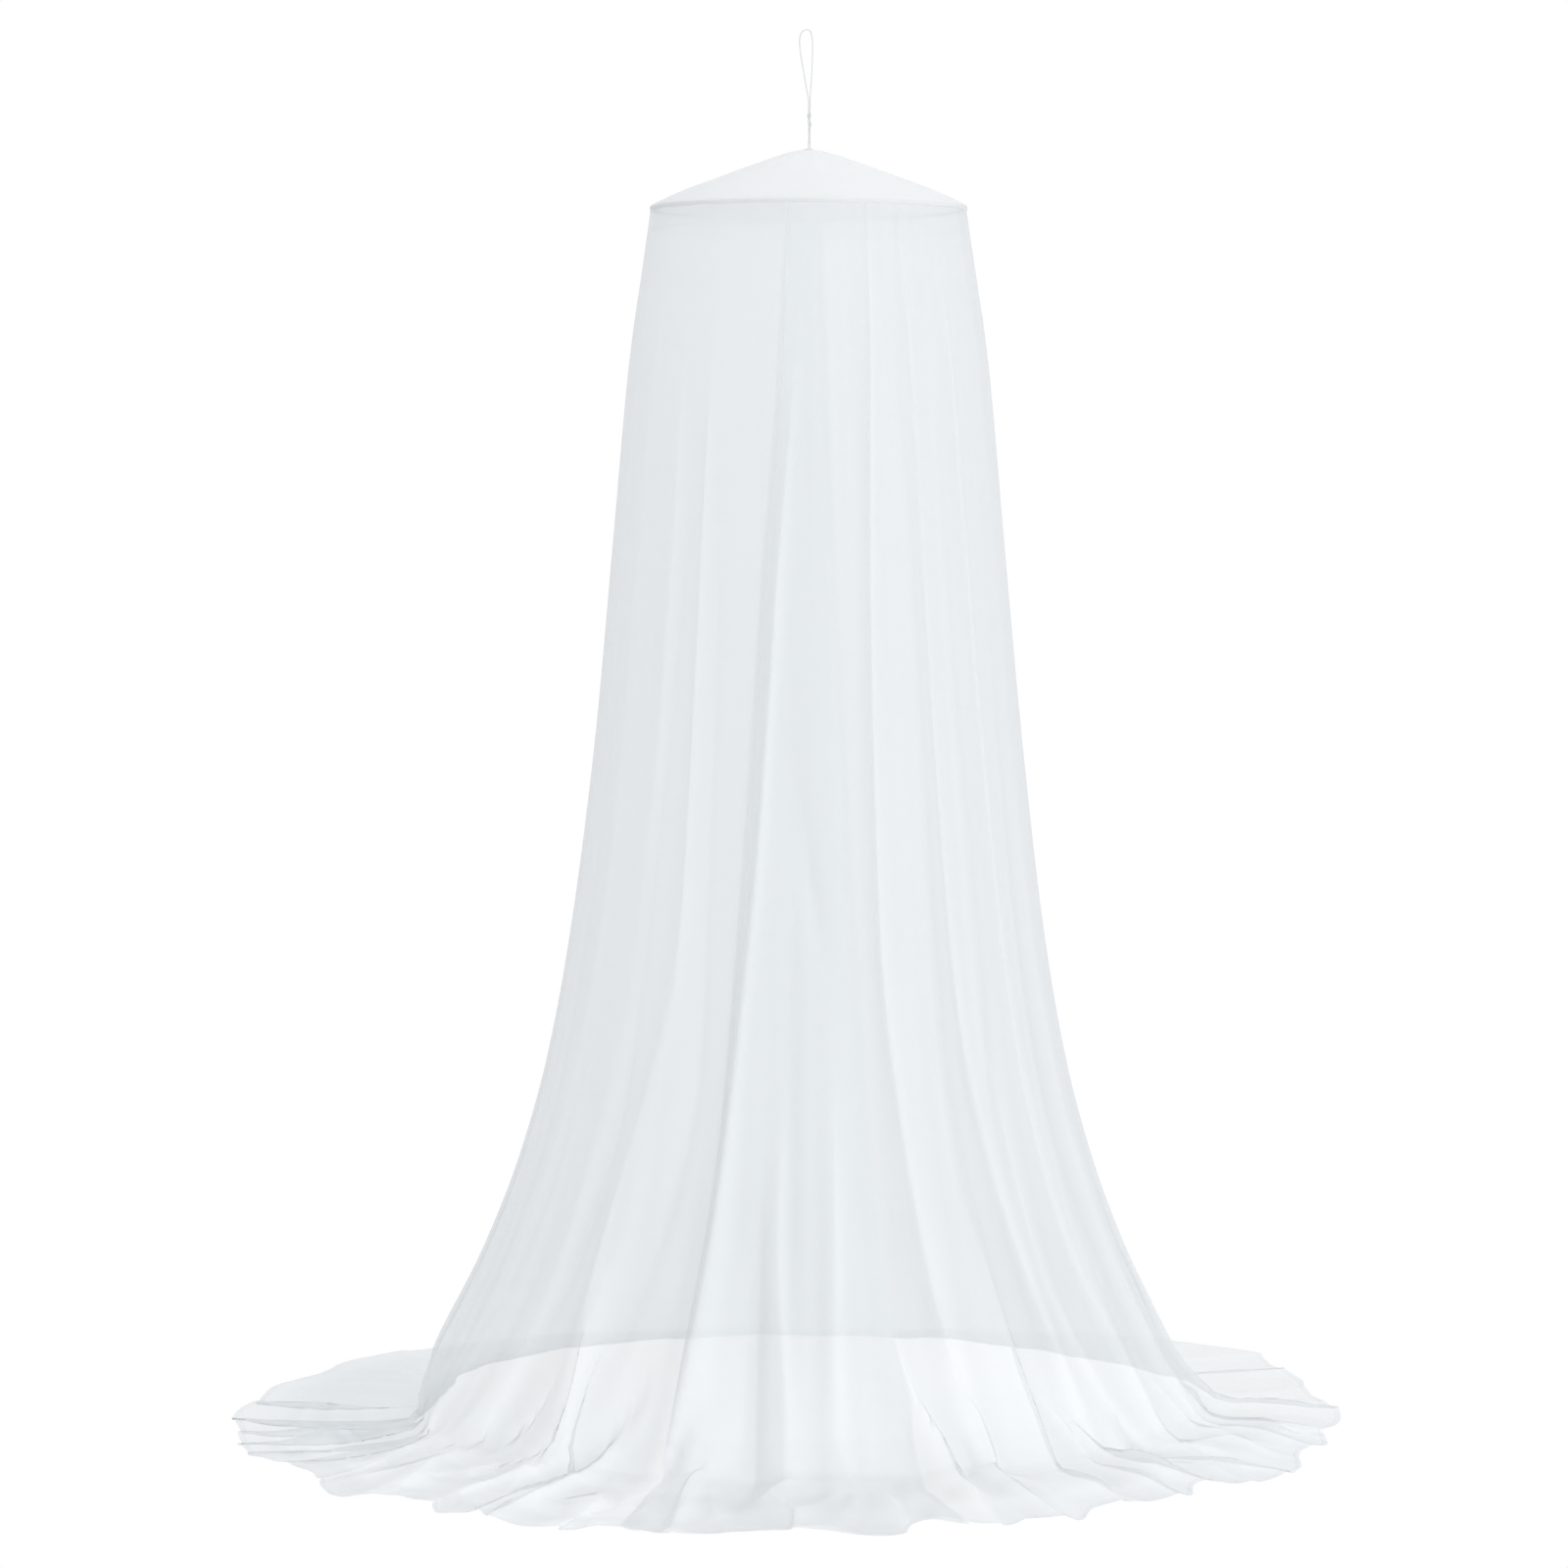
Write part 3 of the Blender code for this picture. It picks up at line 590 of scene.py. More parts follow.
# The knot: its middle over the pair, turns round it, how far out they lie at its ends and how much
# more in its middle, and how far they wander up and down.
KNOT_X = 0.0013
KNOT_TURNS = 2.75
KNOT_STEPS = 48
KNOT_OUT = (0.0026, 0.0006)
KNOT_WANDER = 0.0006
KNOT_STEP = 0.0006
KNOT_END = (
    # the cut end: x, y, z
    (0.0016, -0.0038, -0.1650),
    (0.0030, -0.0036, -0.1700),
    (0.0042, -0.0028, -0.1760),
    (0.0050, -0.0020, -0.1810),
)

# ---------------------------------------------------------------- finishes of the cloths
# The alpha is what the outside covers and inside the share of that which the inside does. Pitch is
#  the thread's, slubs is how much the yarn's uneven tone shows, folds how much the painted highlight on
#  crests and painted shade in hollows shows, and hem is the border's width and added cover.
NET_CLOTH = dict(colour=(0.867, 0.911, 0.946), alpha=0.48, pitch=0.0015, slubs=0.14, folds=0.6)
ROOF_CLOTH = dict(colour=(0.94, 0.965, 0.985), alpha=0.74, pitch=0.0007, slubs=0.2, inside=0.65)
BAND_CLOTH = dict(colour=(0.95, 0.97, 0.99), alpha=0.05, pitch=0.0008, slubs=0.2, hem=(0.005, 0.30))
PATCH_CLOTH = dict(colour=(0.86, 0.895, 0.92), alpha=1.0, pitch=0.0006, slubs=0.6)
# Sheer cloth passes on most of the light that falls on it: the share of its cover that shades.
SHADING_SHARE = 0.25
# What the tone (the yarn's slubs, with the painted highlight of crests and painted shade of hollows), a
# thread and a stitch add to the cover.
COVER_TONE = -0.03
COVER_THREAD = 0.06
COVER_STITCH = 0.08
# How the cloth's colour and roughness follow its tone, which on the net holds painted fold shade as
#  well as the yarn's slubs, and how high a thread stands. A doubled border stands higher by so many
#  threads, and a stitch presses in.
TONE_GAIN = 0.10
CLOTH_ROUGHNESS = (0.80, 0.98)
THREAD_HEIGHT = 0.00012
BORDER_HEIGHT = 1.5
STITCH_HEIGHT = -2.5
STRING_COLOUR = (0.76, 0.78, 0.79)
HOOP_COLOUR = (0.84, 0.86, 0.87)

# ---------------------------------------------------------------- camera and light
CAMERA_DISTANCE = 9.0
CAMERA_HEIGHT = 1.79
CAMERA_ASIDE = -0.0467
CAMERA_DOWN = 3.70
CAMERA_LENS = 108.3
SENSOR = 36.0
STAGE_RADIUS = 40.0
STAGE_GAP = 0.0005
# The camera sees room and floor as plain white, and the cloth is lit by them at these strengths.
SEEN_WHITE = 1.0
ROOM_LIGHT = 0.80
FLOOR_LIGHT = 0.64
LIGHTS = (
    # name, place, what it is aimed at, size, power; heights are over the floor
    ("key", (6.0, -1.95, 1.7), (0.0, 0.0, 1.0), 1.6, 54.0),
    ("fill", (1.7, -6.2, 1.5), (0.0, 0.0, 1.0), 2.0, 66.0),
    ("overhead", (0.12, -0.35, 3.7), (0.05, -0.60, 0.0), 1.4, 6.5),
)


def level(height):
    return height + FLOOR


def blend(low, high, share):
    return low + (high - low) * share


def smooth_step(start, end, value):
    share = np.clip((value - start) / (end - start), 0.0, 1.0)
    return share * share * (3.0 - 2.0 * share)


def wrapped(angle):
    return (angle + 180.0) % 360.0 - 180.0


def curve_at(values, place):
    """Smooth curve through evenly placed values, read at places that count in values."""
    values = np.asarray(values, float)
    place = np.clip(place, 0.0, len(values) - 1.0)
    index = np.minimum(place.astype(int), len(values) - 2)
    t = place - index
    p0 = values[np.maximum(index - 1, 0)]
    p1 = values[index]
    p2 = values[index + 1]
    p3 = values[np.minimum(index + 2, len(values) - 1)]
    return (
        p1
        + 0.5 * t * (p2 - p0)
        + t * t * (p0 - 2.5 * p1 + 2.0 * p2 - 0.5 * p3)
        + t * t * t * (1.5 * (p1 - p2) + 0.5 * (p3 - p0))
    )


def ring_table(table, azimuth):
    """The value of a table of (azimuth, value) at azimuths, smooth round the ring."""
    around = np.array([row[0] for row in table], float)
    values = [row[1] for row in table]
    place = around[0] + (azimuth - around[0]) % 360.0
    ends = np.append(around, around[0] + 360.0)
    index = np.clip(np.searchsorted(ends, place, side="right") - 1, 0, len(around) - 1)
    t = (place - ends[index]) / (ends[index + 1] - ends[index])
    padded = np.array(values[-1:] + values + values[:2])
    return curve_at(padded, index + 1.0 + t)


def down_the_net(height, values):
    """A value given high, in the middle and low on the net, at heights."""
    high, middle, low = values
    upper = blend(middle, high, smooth_step(FOLD_LEVELS[1], FOLD_LEVELS[0], height))
    lower = blend(low, middle, smooth_step(FOLD_LEVELS[2], FOLD_LEVELS[1], height))
    return np.where(height >= FOLD_LEVELS[1], upper, lower)


# ---------------------------------------------------------------- node groups of the finishes
def new_group(name, inputs, outputs):
    """Empty node group. Inputs are (name, default), outputs are names of numbers."""
    group = bpy.data.node_groups.new(name, "ShaderNodeTree")
    for label, default in inputs:
        kind = "NodeSocketVector" if default is None else "NodeSocketFloat"
        socket = group.interface.new_socket(name=label, in_out="INPUT", socket_type=kind)
        if default is not None:
            socket.default_value = default
    for label in outputs:
        group.interface.new_socket(name=label, in_out="OUTPUT", socket_type="NodeSocketFloat")
    entry = group.nodes.new("NodeGroupInput")
    leave = group.nodes.new("NodeGroupOutput")
    return group, entry.outputs, leave.inputs


def connect(tree, value, socket):
    """Link an output to the socket, or set the socket to a number."""
    if isinstance(value, bpy.types.NodeSocket):
        tree.links.new(value, socket)
    else:
        socket.default_value = value


def math_node(tree, operation, *values):
    node = tree.nodes.new("ShaderNodeMath")
    node.operation = operation
    for value, socket in zip(values, node.inputs):
        connect(tree, value, socket)
    return node.outputs["Value"]


def map_range(tree, value, from_low, from_high, to_low, to_high):
    node = tree.nodes.new("ShaderNodeMapRange")
    settings = zip(("Value", "From Min", "From Max", "To Min", "To Max"),
                   (value, from_low, from_high, to_low, to_high))
    for label, setting in settings:
        connect(tree, setting, node.inputs[label])
    return node.outputs["Result"]


def noise(tree, vector, scale, detail=2.0):
    node = tree.nodes.new("ShaderNodeTexNoise")
    tree.links.new(vector, node.inputs["Vector"])
    node.inputs["Scale"].default_value = scale
    node.inputs["Detail"].default_value = detail
    return node.outputs["Fac"]


def stretched(tree, vector, factors):
    node = tree.nodes.new("ShaderNodeMapping")
    node.inputs["Scale"].default_value = factors
    tree.links.new(vector, node.inputs["Vector"])
    return node.outputs["Vector"]


def weave_group():
    """Crossed threads: how much of a spot is thread, and how high the thread stands."""
    group, entry, leave = new_group("weave", (("Cloth", None), ("Pitch", 0.0015)), ("Thread", "Height"))
    parts = group.nodes.new("ShaderNodeSeparateXYZ")
    group.links.new(entry["Cloth"], parts.inputs["Vector"])
    rounds = []
    for label in ("X", "Y"):
        turns = math_node(group, "DIVIDE", parts.outputs[label], entry["Pitch"])
        wave = math_node(group, "COSINE", math_node(group, "MULTIPLY", turns, 2.0 * math.pi))
        rounds.append(map_range(group, wave, 0.1, 1.0, 0.0, 1.0))
    group.links.new(math_node(group, "MAXIMUM", *rounds), leave["Thread"])
    group.links.new(math_node(group, "ADD", *rounds), leave["Height"])
    return group


def slub_group():
    """Uneven yarn: slow patches, long streaks down the cloth, and short ones across it."""
    group, entry, leave = new_group("slubs", (("Cloth", None), ("Amount", 1.0)), ("Tone",))
    patches = noise(group, stretched(group, entry["Cloth"], (1.0, 0.5, 1.0)), 5.0)
    streaks = noise(group, stretched(group, entry["Cloth"], (1.0, 0.02, 1.0)), 120.0)
    across = noise(group, stretched(group, entry["Cloth"], (0.02, 1.0, 1.0)), 160.0)
    yarns = math_node(group, "MULTIPLY_ADD", math_node(group, "ADD", streaks, across), 0.2, -0.2)
    total = math_node(group, "ADD", math_node(group, "SUBTRACT", patches, 0.5), yarns)
    spread = math_node(group, "MULTIPLY", total, entry["Amount"])
    group.links.new(spread, leave["Tone"])
    return group


def border_group():
    """Turned and sewn border: a mask of the doubled strip, and the stitches along its inner line."""
    inputs = (("Distance", 0.0), ("Along", 0.0), ("Width", 0.011), ("Stitch", 0.003))
    group, entry, leave = new_group("turned_border", inputs, ("Doubled", "Stitches"))
    edge = math_node(group, "SUBTRACT", entry["Distance"], entry["Width"])
    group.links.new(map_range(group, edge, -0.0004, 0.0004, 1.0, 0.0), leave["Doubled"])
    line = math_node(group, "ABSOLUTE", math_node(group, "ADD", edge, 0.0014))
    near = map_range(group, line, 0.0002, 0.0006, 1.0, 0.0)
    turns = math_node(group, "DIVIDE", entry["Along"], entry["Stitch"])
    wave = math_node(group, "SINE", math_node(group, "MULTIPLY", turns, 2.0 * math.pi))
    dash = map_range(group, wave, -0.5, 0.1, 0.0, 1.0)
    group.links.new(math_node(group, "MULTIPLY", near, dash), leave["Stitches"])
    return group


WEAVE = weave_group()
SLUBS = slub_group()
BORDER = border_group()


def group_node(tree, group, **values):
    node = tree.nodes.new("ShaderNodeGroup")
    node.node_tree = group
    for name, value in values.items():
        connect(tree, value, node.inputs[name])
    return node.outputs


# ---------------------------------------------------------------- materials
def new_material(name, **values):
    made = bpy.data.materials.new(name)
    made.use_nodes = True
    tree = made.node_tree
    shader = tree.nodes["Principled BSDF"]
    for label, value in values.items():
        shader.inputs[label.replace("_", " ")].default_value = value
    return made, tree, shader


def uv_layer(tree, name):
    node = tree.nodes.new("ShaderNodeUVMap")
    node.uv_map = name
    return node.outputs["UV"]


def toned(tree, colour, value, gain):
    """The colour, lighter or darker by a value round zero."""
    node = tree.nodes.new("ShaderNodeHueSaturation")
    node.inputs["Color"].default_value = (*colour, 1.0)
    connect(tree, math_node(tree, "MULTIPLY_ADD", value, gain, 1.0), node.inputs["Value"])
    return node.outputs["Color"]


def bump(tree, height, distance, shader):
    node = tree.nodes.new("ShaderNodeBump")
    node.inputs["Distance"].default_value = distance
    node.inputs["Strength"].default_value = 1.0
    connect(tree, height, node.inputs["Height"])
    tree.links.new(node.outputs["Normal"], shader.inputs["Normal"])


def cloth_material(name, colour, alpha, pitch, slubs, inside=1.0, folds=0.0, hem=(0.011, 0.07)):
    """Woven cloth with a turned and sewn border, which covers less where it is sheer."""
    made, tree, shader = new_material(name, Roughness=0.9, Specular_IOR_Level=0.1,
                                      Sheen_Weight=0.12, Sheen_Roughness=0.6)
    cloth = uv_layer(tree, "cloth")
    border = tree.nodes.new("ShaderNodeSeparateXYZ")
    tree.links.new(uv_layer(tree, "border"), border.inputs["Vector"])
    weave = group_node(tree, WEAVE, Cloth=cloth, Pitch=pitch)
    tone = group_node(tree, SLUBS, Cloth=cloth, Amount=slubs)["Tone"]
    sewn = group_node(tree, BORDER, Distance=border.outputs["X"], Along=border.outputs["Y"],
                      Width=hem[0])
    # On the net the fold relief paints its crests lighter and its hollows darker: painted highlight and
    # painted shade in the colour, roughness and cover.
    if folds:
        stands = tree.nodes.new("ShaderNodeSeparateXYZ")
        tree.links.new(uv_layer(tree, "folds"), stands.inputs["Vector"])
        tone = math_node(tree, "MULTIPLY_ADD", stands.outputs["X"], folds, tone)
    tree.links.new(toned(tree, colour, tone, TONE_GAIN), shader.inputs["Base Color"])
    rough = map_range(tree, tone, -0.5, 0.5, *CLOTH_ROUGHNESS)
    tree.links.new(rough, shader.inputs["Roughness"])
    raised = math_node(tree, "MULTIPLY_ADD", sewn["Doubled"], BORDER_HEIGHT, weave["Height"])
    raised = math_node(tree, "MULTIPLY_ADD", sewn["Stitches"], STITCH_HEIGHT, raised)
    bump(tree, raised, THREAD_HEIGHT, shader)
    if alpha < 1.0:
        side = tree.nodes.new("ShaderNodeNewGeometry")
        cover = map_range(tree, side.outputs["Backfacing"], 0.0, 1.0, alpha, alpha * inside)
        added = [(tone, COVER_TONE), (weave["Thread"], COVER_THREAD), (sewn["Doubled"], hem[1]),
                 (sewn["Stitches"], COVER_STITCH)]
        if folds:
            added.append((stands.outputs["Y"], GATHERED_COVER))
        for value, gain in added:
            cover = math_node(tree, "MULTIPLY_ADD", value, gain, cover)
        path = tree.nodes.new("ShaderNodeLightPath")
        share = map_range(tree, path.outputs["Is Camera Ray"], 0.0, 1.0, SHADING_SHARE, 1.0)
        cover = math_node(tree, "MULTIPLY", cover, share)
        tree.links.new(map_range(tree, cover, 0.0, 1.0, 0.0, 1.0), shader.inputs["Alpha"])
    return made


def string_material():
    """Twisted polyester string: shiny plies with fine fibres along them."""
    made, tree, shader = new_material("string", Roughness=0.55, Specular_IOR_Level=0.35,
                                      Sheen_Weight=0.2)
    along = uv_layer(tree, "cloth")
    fibres = noise(tree, stretched(tree, along, (1.0, 0.25, 1.0)), 9000.0, 3.0)
    patches = noise(tree, along, 120.0)
    tone = math_node(tree, "SUBTRACT", math_node(tree, "ADD", fibres, patches), 1.0)
    tree.links.new(toned(tree, STRING_COLOUR, tone, 0.35), shader.inputs["Base Color"])
    tree.links.new(map_range(tree, fibres, 0.3, 0.7, 0.45, 0.7), shader.inputs["Roughness"])
    bump(tree, fibres, 0.0001, shader)
    return made


def hoop_material():
    """Drawn plastic rod, faintly ribbed along its length by the die."""
    made, tree, shader = new_material("hoop_rod", Roughness=0.4, Specular_IOR_Level=0.5)
    place = tree.nodes.new("ShaderNodeTexCoord").outputs["Object"]
    cloudy = noise(tree, place, 60.0, 3.0)
    scuffs = noise(tree, stretched(tree, place, (1.0, 1.0, 12.0)), 420.0, 4.0)
    tone = math_node(tree, "SUBTRACT", math_node(tree, "ADD", cloudy, scuffs), 1.0)
    tree.links.new(toned(tree, HOOP_COLOUR, tone, 0.12), shader.inputs["Base Color"])
    tree.links.new(map_range(tree, scuffs, 0.3, 0.7, 0.32, 0.5), shader.inputs["Roughness"])
    bump(tree, scuffs, 0.00008, shader)
    return made


# ---------------------------------------------------------------- meshes from grids of points
def grid_faces(columns, rows, closed=False):
    """Quads of a grid whose points run down each column, the outside to the viewer."""
    span = columns if closed else columns - 1
    a = (np.arange(span)[:, None] * rows + np.arange(rows - 1)[None, :]).ravel()
    b = (a + rows) % (columns * rows)
    return np.stack((a, a + 1, b + 1, b), axis=-1).tolist()


def link_mesh(name, points, faces):
    mesh = bpy.data.meshes.new(name)
    mesh.from_pydata(np.asarray(points).reshape(-1, 3).tolist(), [], faces)
    mesh.shade_smooth()
    made = bpy.data.objects.new(name, mesh)
    bpy.context.collection.objects.link(made)
    return made


def give_uv(piece, name, values):
    """UV map from a pair of values for each vertex."""
    layer = piece.data.uv_layers.new(name=name)
    index = np.empty(len(piece.data.loops), int)
    piece.data.loops.foreach_get("vertex_index", index)
    layer.data.foreach_set("uv", np.asarray(values, float).reshape(-1, 2)[index].ravel())


def finish_piece(piece, material, node):
    piece.data.materials.clear()
    piece.data.materials.append(material)
    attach(piece, "root")
    if node:
        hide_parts(node)
    return piece


def run_along(points, axis):
    """Distance run along an axis of a grid of points, from its start."""
    steps = np.linalg.norm(np.diff(points, axis=axis), axis=2)
    start = np.zeros_like(np.take(steps, [0], axis=axis))
    return np.concatenate((start, np.cumsum(steps, axis=axis)), axis=axis)


def round_points(radius, azimuth, height):
    turn = np.radians(azimuth)
    return np.stack((np.sin(turn) * radius, -np.cos(turn) * radius, height), axis=-1)


# ---------------------------------------------------------------- the net
def beside(azimuth, centre, half):
    """1 at an azimuth, less the further beside it."""
    return np.exp(-((wrapped(azimuth - centre) / half) ** 2))


def over_floor(place):
    """Share of the way from the foot of the wall out to the hem, at places."""
    return np.clip((place - WALL_ROWS) / (len(NET_SECTION) - 1 - WALL_ROWS), 0.0, 1.0)


def net_places():
    """Places down the section, counted in its rows: evenly along the cloth on wall and floor."""
    heights = np.array([row[0] for row in NET_SECTION[: WALL_ROWS + 1]])
    radii = np.array([row[1] for row in NET_SECTION[: WALL_ROWS + 1]])
    fine = np.linspace(0.0, WALL_ROWS, 1200)
    line = np.column_stack((curve_at(heights, fine), curve_at(radii, fine)))
    run = np.concatenate(([0.0], np.cumsum(np.linalg.norm(np.diff(line, axis=0), axis=1))))
    share = np.linspace(0.0, 1.0, NET_WALL_STEPS + 1) ** NET_WALL_CLOSER
    wall = np.interp(share * run[-1], run, fine)
    floor = np.linspace(WALL_ROWS, len(NET_SECTION) - 1, NET_FLOOR_STEPS + 1)
    return np.concatenate((wall, floor[1:]))


def rest_section(azimuth, place):
    """Radius and height between the folds, at azimuths and places."""
    height, radius, spread = [curve_at([row[k] for row in NET_SECTION], place) for k in range(3)]
    shift = ring_table(FOOT_SHIFT, azimuth)
    radius = radius + shift * spread
    top_height, top_radius = BACK_SLOPE_TOP
    slope = blend(FOOT_RADIUS + shift, top_radius + BACK_SLOPE_SHIFT * shift, height / top_height)
    behind = smooth_step(*BACK_SLOPE, np.abs(wrapped(azimuth)))
    straight = behind * (height < top_height) * (height > FOOT_HEIGHT)
    radius = blend(radius, slope, straight)
    radius = blend(radius, ring_table(HEM_LINE, azimuth), over_floor(place))
    past = np.maximum(radius - FOOT_RADIUS - shift, 0.0)
    radius = radius - UNDER_SHORTER * smooth_step(*UNDER_FROM, azimuth) * past
    return radius, np.maximum(height, SHEET_HALF)


def ridge(away, rounding):
    """Height of a crease across itself: a rounded top with hollow flanks."""
    return np.exp(rounding - np.sqrt(away * away + rounding * rounding))


def along_line(line, height):
    """Azimuth of an upright edge at heights."""
    rows = np.array(line, float)
    return curve_at(rows[:, 1], np.interp(-height, -rows[:, 0], np.arange(len(rows))))


def main_folds(azimuth, height, radius, share):
    rise = np.zeros_like(azimuth)
    slide = np.zeros_like(azimuth)
    for high, middle, low, half_width, deep, lean in FOLDS:
        centre = down_the_net(height, (high, middle, low))
        width = half_width * blend(FOLD_WIDTH_HIGH, 1.0, share)
        top = share * ridge(np.radians(wrapped(azimuth - centre)) * radius / width, FOLD_ROUND)
        rise += deep * top
        slide += lean * top
    return rise, slide


def add_crease(crease, azimuth, reach, radius, rise, slide):
    """One crease along its rows of (reach, azimuth, half width, depth, lean)."""
    rows = np.array(crease, float)
    place = np.interp(-reach, -rows[:, 0], np.arange(len(rows)))
    centre, width, depth, lean = [curve_at(rows[:, k], place) for k in range(1, 5)]
    near = np.abs(wrapped(azimuth - centre)) < 30.0
    away = np.radians(wrapped(azimuth - centre)[near]) * radius[near] / width[near]
    top = ridge(away, CREASE_ROUND) * (np.abs(away) < 6.0)
    rise[near] += depth[near] * top
    slide[near] += lean[near] * top


def loose_ruffles():
    """Ruffles all round the hem, uneven in width, depth and lean, calmer at the front."""
    draw = np.random.RandomState(RUFFLE_SEED)
    creases = []
    for step in range(RUFFLES):
        azimuth = wrapped(360.0 * (step + draw.uniform(-0.4, 0.4)) / RUFFLES)
        calm = CALM_SHARE if CALM_FRONT[0] < azimuth < CALM_FRONT[1] else 1.0
        calm = BACK_SHARE if abs(azimuth) > BACK_START else calm
        width = draw.uniform(*RUFFLE_WIDTH)
        depth = draw.uniform(*RUFFLE_DEPTH) * calm
        lean = draw.uniform(-1.0, 1.0) * RUFFLE_LEAN * width
        start = draw.uniform(*RUFFLE_START)
        sway = draw.uniform(*RUFFLE_SWAY, 3)
        fade = draw.uniform(*RUFFLE_FADE)
        creases.append((
            (start, azimuth + sway[0], 0.7 * width, 0.0, 0.0),
            (start - 0.12, azimuth + sway[1], width, depth, lean),
            (-0.24, azimuth + sway[2], width, depth * draw.uniform(0.6, 1.1), lean),
            (-0.40, azimuth + 2.0 * sway[2] - sway[1], 1.1 * width, depth * fade, lean * fade),
        ))
    return creases


def tail_pleats():
    """Close pleats that lap over each other where the cloth is crowded at the sides."""
    draw = np.random.RandomState(TAIL_SEED)
    creases = []
    for first, last, number, tall, lap, turned in TAILS:
        for step in range(number):
            azimuth = blend(first, last, (step + draw.uniform(0.2, 0.8)) / number)
            width = draw.uniform(*TAIL_WIDTH)
            depth = tall * draw.uniform(*TAIL_DEPTH)
            lean = (-lap if draw.uniform(0.0, 1.0) < turned else lap) * draw.uniform(*TAIL_LEAN)
            start = draw.uniform(*TAIL_START)
            sway = draw.uniform(*TAIL_SWAY, 3)
            creases.append((
                (start, azimuth + sway[0], width, 0.0, 0.0),
                (start - 0.08, azimuth + sway[0], width, depth, lean),
                (-0.18, azimuth + sway[1], 1.2 * width, depth, draw.uniform(0.4, 1.0) * lean),
                (-0.38, azimuth + sway[2], 1.4 * width, depth * draw.uniform(0.3, 1.0), 0.3 * lean),
            ))
    return creases


def stacked_pleats():
    """Broad flat pleats stacked in the left tail, each lapping over the next towards the front."""
    return [(
        (0.04, azimuth + 2.0, STACK_WIDTH, 0.0, 0.0),
        (-0.04, azimuth + 1.0, STACK_WIDTH, 0.5 * STACK_DEPTH, 0.3 * lean),
        (-0.12, azimuth, STACK_WIDTH, STACK_DEPTH, 0.9 * lean),
        (-0.20, azimuth - 1.0, STACK_WIDTH, STACK_DEPTH, lean),
        (-0.27, azimuth - 1.5, STACK_WIDTH, STACK_DEPTH, 0.8 * lean),
        (-0.34, azimuth - 2.0, STACK_WIDTH, 0.5 * STACK_DEPTH, 0.45 * lean),
    ) for azimuth, lean in STACK]


def hoop_gathers():
    """Small gathers where the net is sewn round the hoop. The front left stays flat."""
    draw = np.random.RandomState(STREAK_SEED)
    top, full = GATHER_TOP
    creases = []
    for step in range(GATHERS):
        azimuth = blend(*GATHER_SPAN, (step + draw.uniform(-0.4, 0.4)) / GATHERS)
        tall = GATHERS_FRONT if azimuth < GATHERS_FRONT_TO else GATHERS_BEHIND
        depth = draw.uniform(*GATHER_DEPTH) * tall
        width = draw.uniform(*GATHER_WIDTH)
        end = draw.uniform(*GATHER_END)
        creases.append((
            (top, azimuth, 0.8 * width, 0.2 * depth, 0.0),
            (full, azimuth, width, depth, 0.0),
            (blend(full, end, 0.5), azimuth + draw.uniform(-1, 1), 1.3 * width, 0.8 * depth, 0.0),
            (end, azimuth + draw.uniform(-2, 2), 1.6 * width, 0.0, 0.0),
        ))
    return creases


def fine_unevenness(azimuth, reach, fold, ruffle):
    """Slow streaks down the wall and crumples on the floor, in metres."""
    draw = np.random.RandomState(STREAK_SEED)
    uneven = np.zeros_like(azimuth)
    turn = np.radians(azimuth)
    kinds = (
        (STREAKS, STREAK_WAVES, STREAK_DRIFT, STREAK_DEPTH * fold),
        (CRUMPLES, CRUMPLE_WAVES, CRUMPLE_DRIFT, CRUMPLE_DEPTH * ruffle),
    )
    for number, waves, drifts, depth in kinds:
        for step in range(number):
            around = draw.randint(*waves)
            drift, start = draw.uniform(*drifts), draw.uniform(0.0, 2.0 * math.pi)
            uneven += depth * np.sin(around * turn + drift * reach + start)
    return uneven


def column_shares():
    """Shares of the way round the net: the columns stand closer over the front."""
    shares = np.linspace(0.0, 1.0, 4000)
    azimuth = blend(OVER_EDGE[-1][1], 360.0 + UNDER_EDGE[-1][1], shares)
    ends = (FRONT_HALF - FRONT_SOFT, FRONT_HALF + FRONT_SOFT)
    front = 1.0 - smooth_step(*ends, np.abs(wrapped(azimuth)))
    run = np.cumsum(blend(1.0, FRONT_CLOSER, front))
    run = (run - run[0]) / (run[-1] - run[0])
    return np.interp(np.linspace(0.0, 1.0, NET_COLUMNS + 1), run, shares)


def slow_part(values, half):
    """Values averaged over the columns beside them."""
    run = np.cumsum(np.pad(values, ((half, half), (0, 0)), mode="edge"), axis=0)
    return (run[2 * half:] - run[: -2 * half]) / (2 * half)


def outwards(azimuth, place):
    """Which way is out of the cloth between the folds: its parts along radius and height."""
    last = len(NET_SECTION) - 1.0
    r_low, h_low = rest_section(azimuth, np.maximum(place - SECTION_STEP, 0.0))
    r_high, h_high = rest_section(azimuth, np.minimum(place + SECTION_STEP, last))
    run_r, run_h = r_high - r_low, h_high - h_low
    length = np.hypot(run_r, run_h)
    return -run_h / length, run_r / length


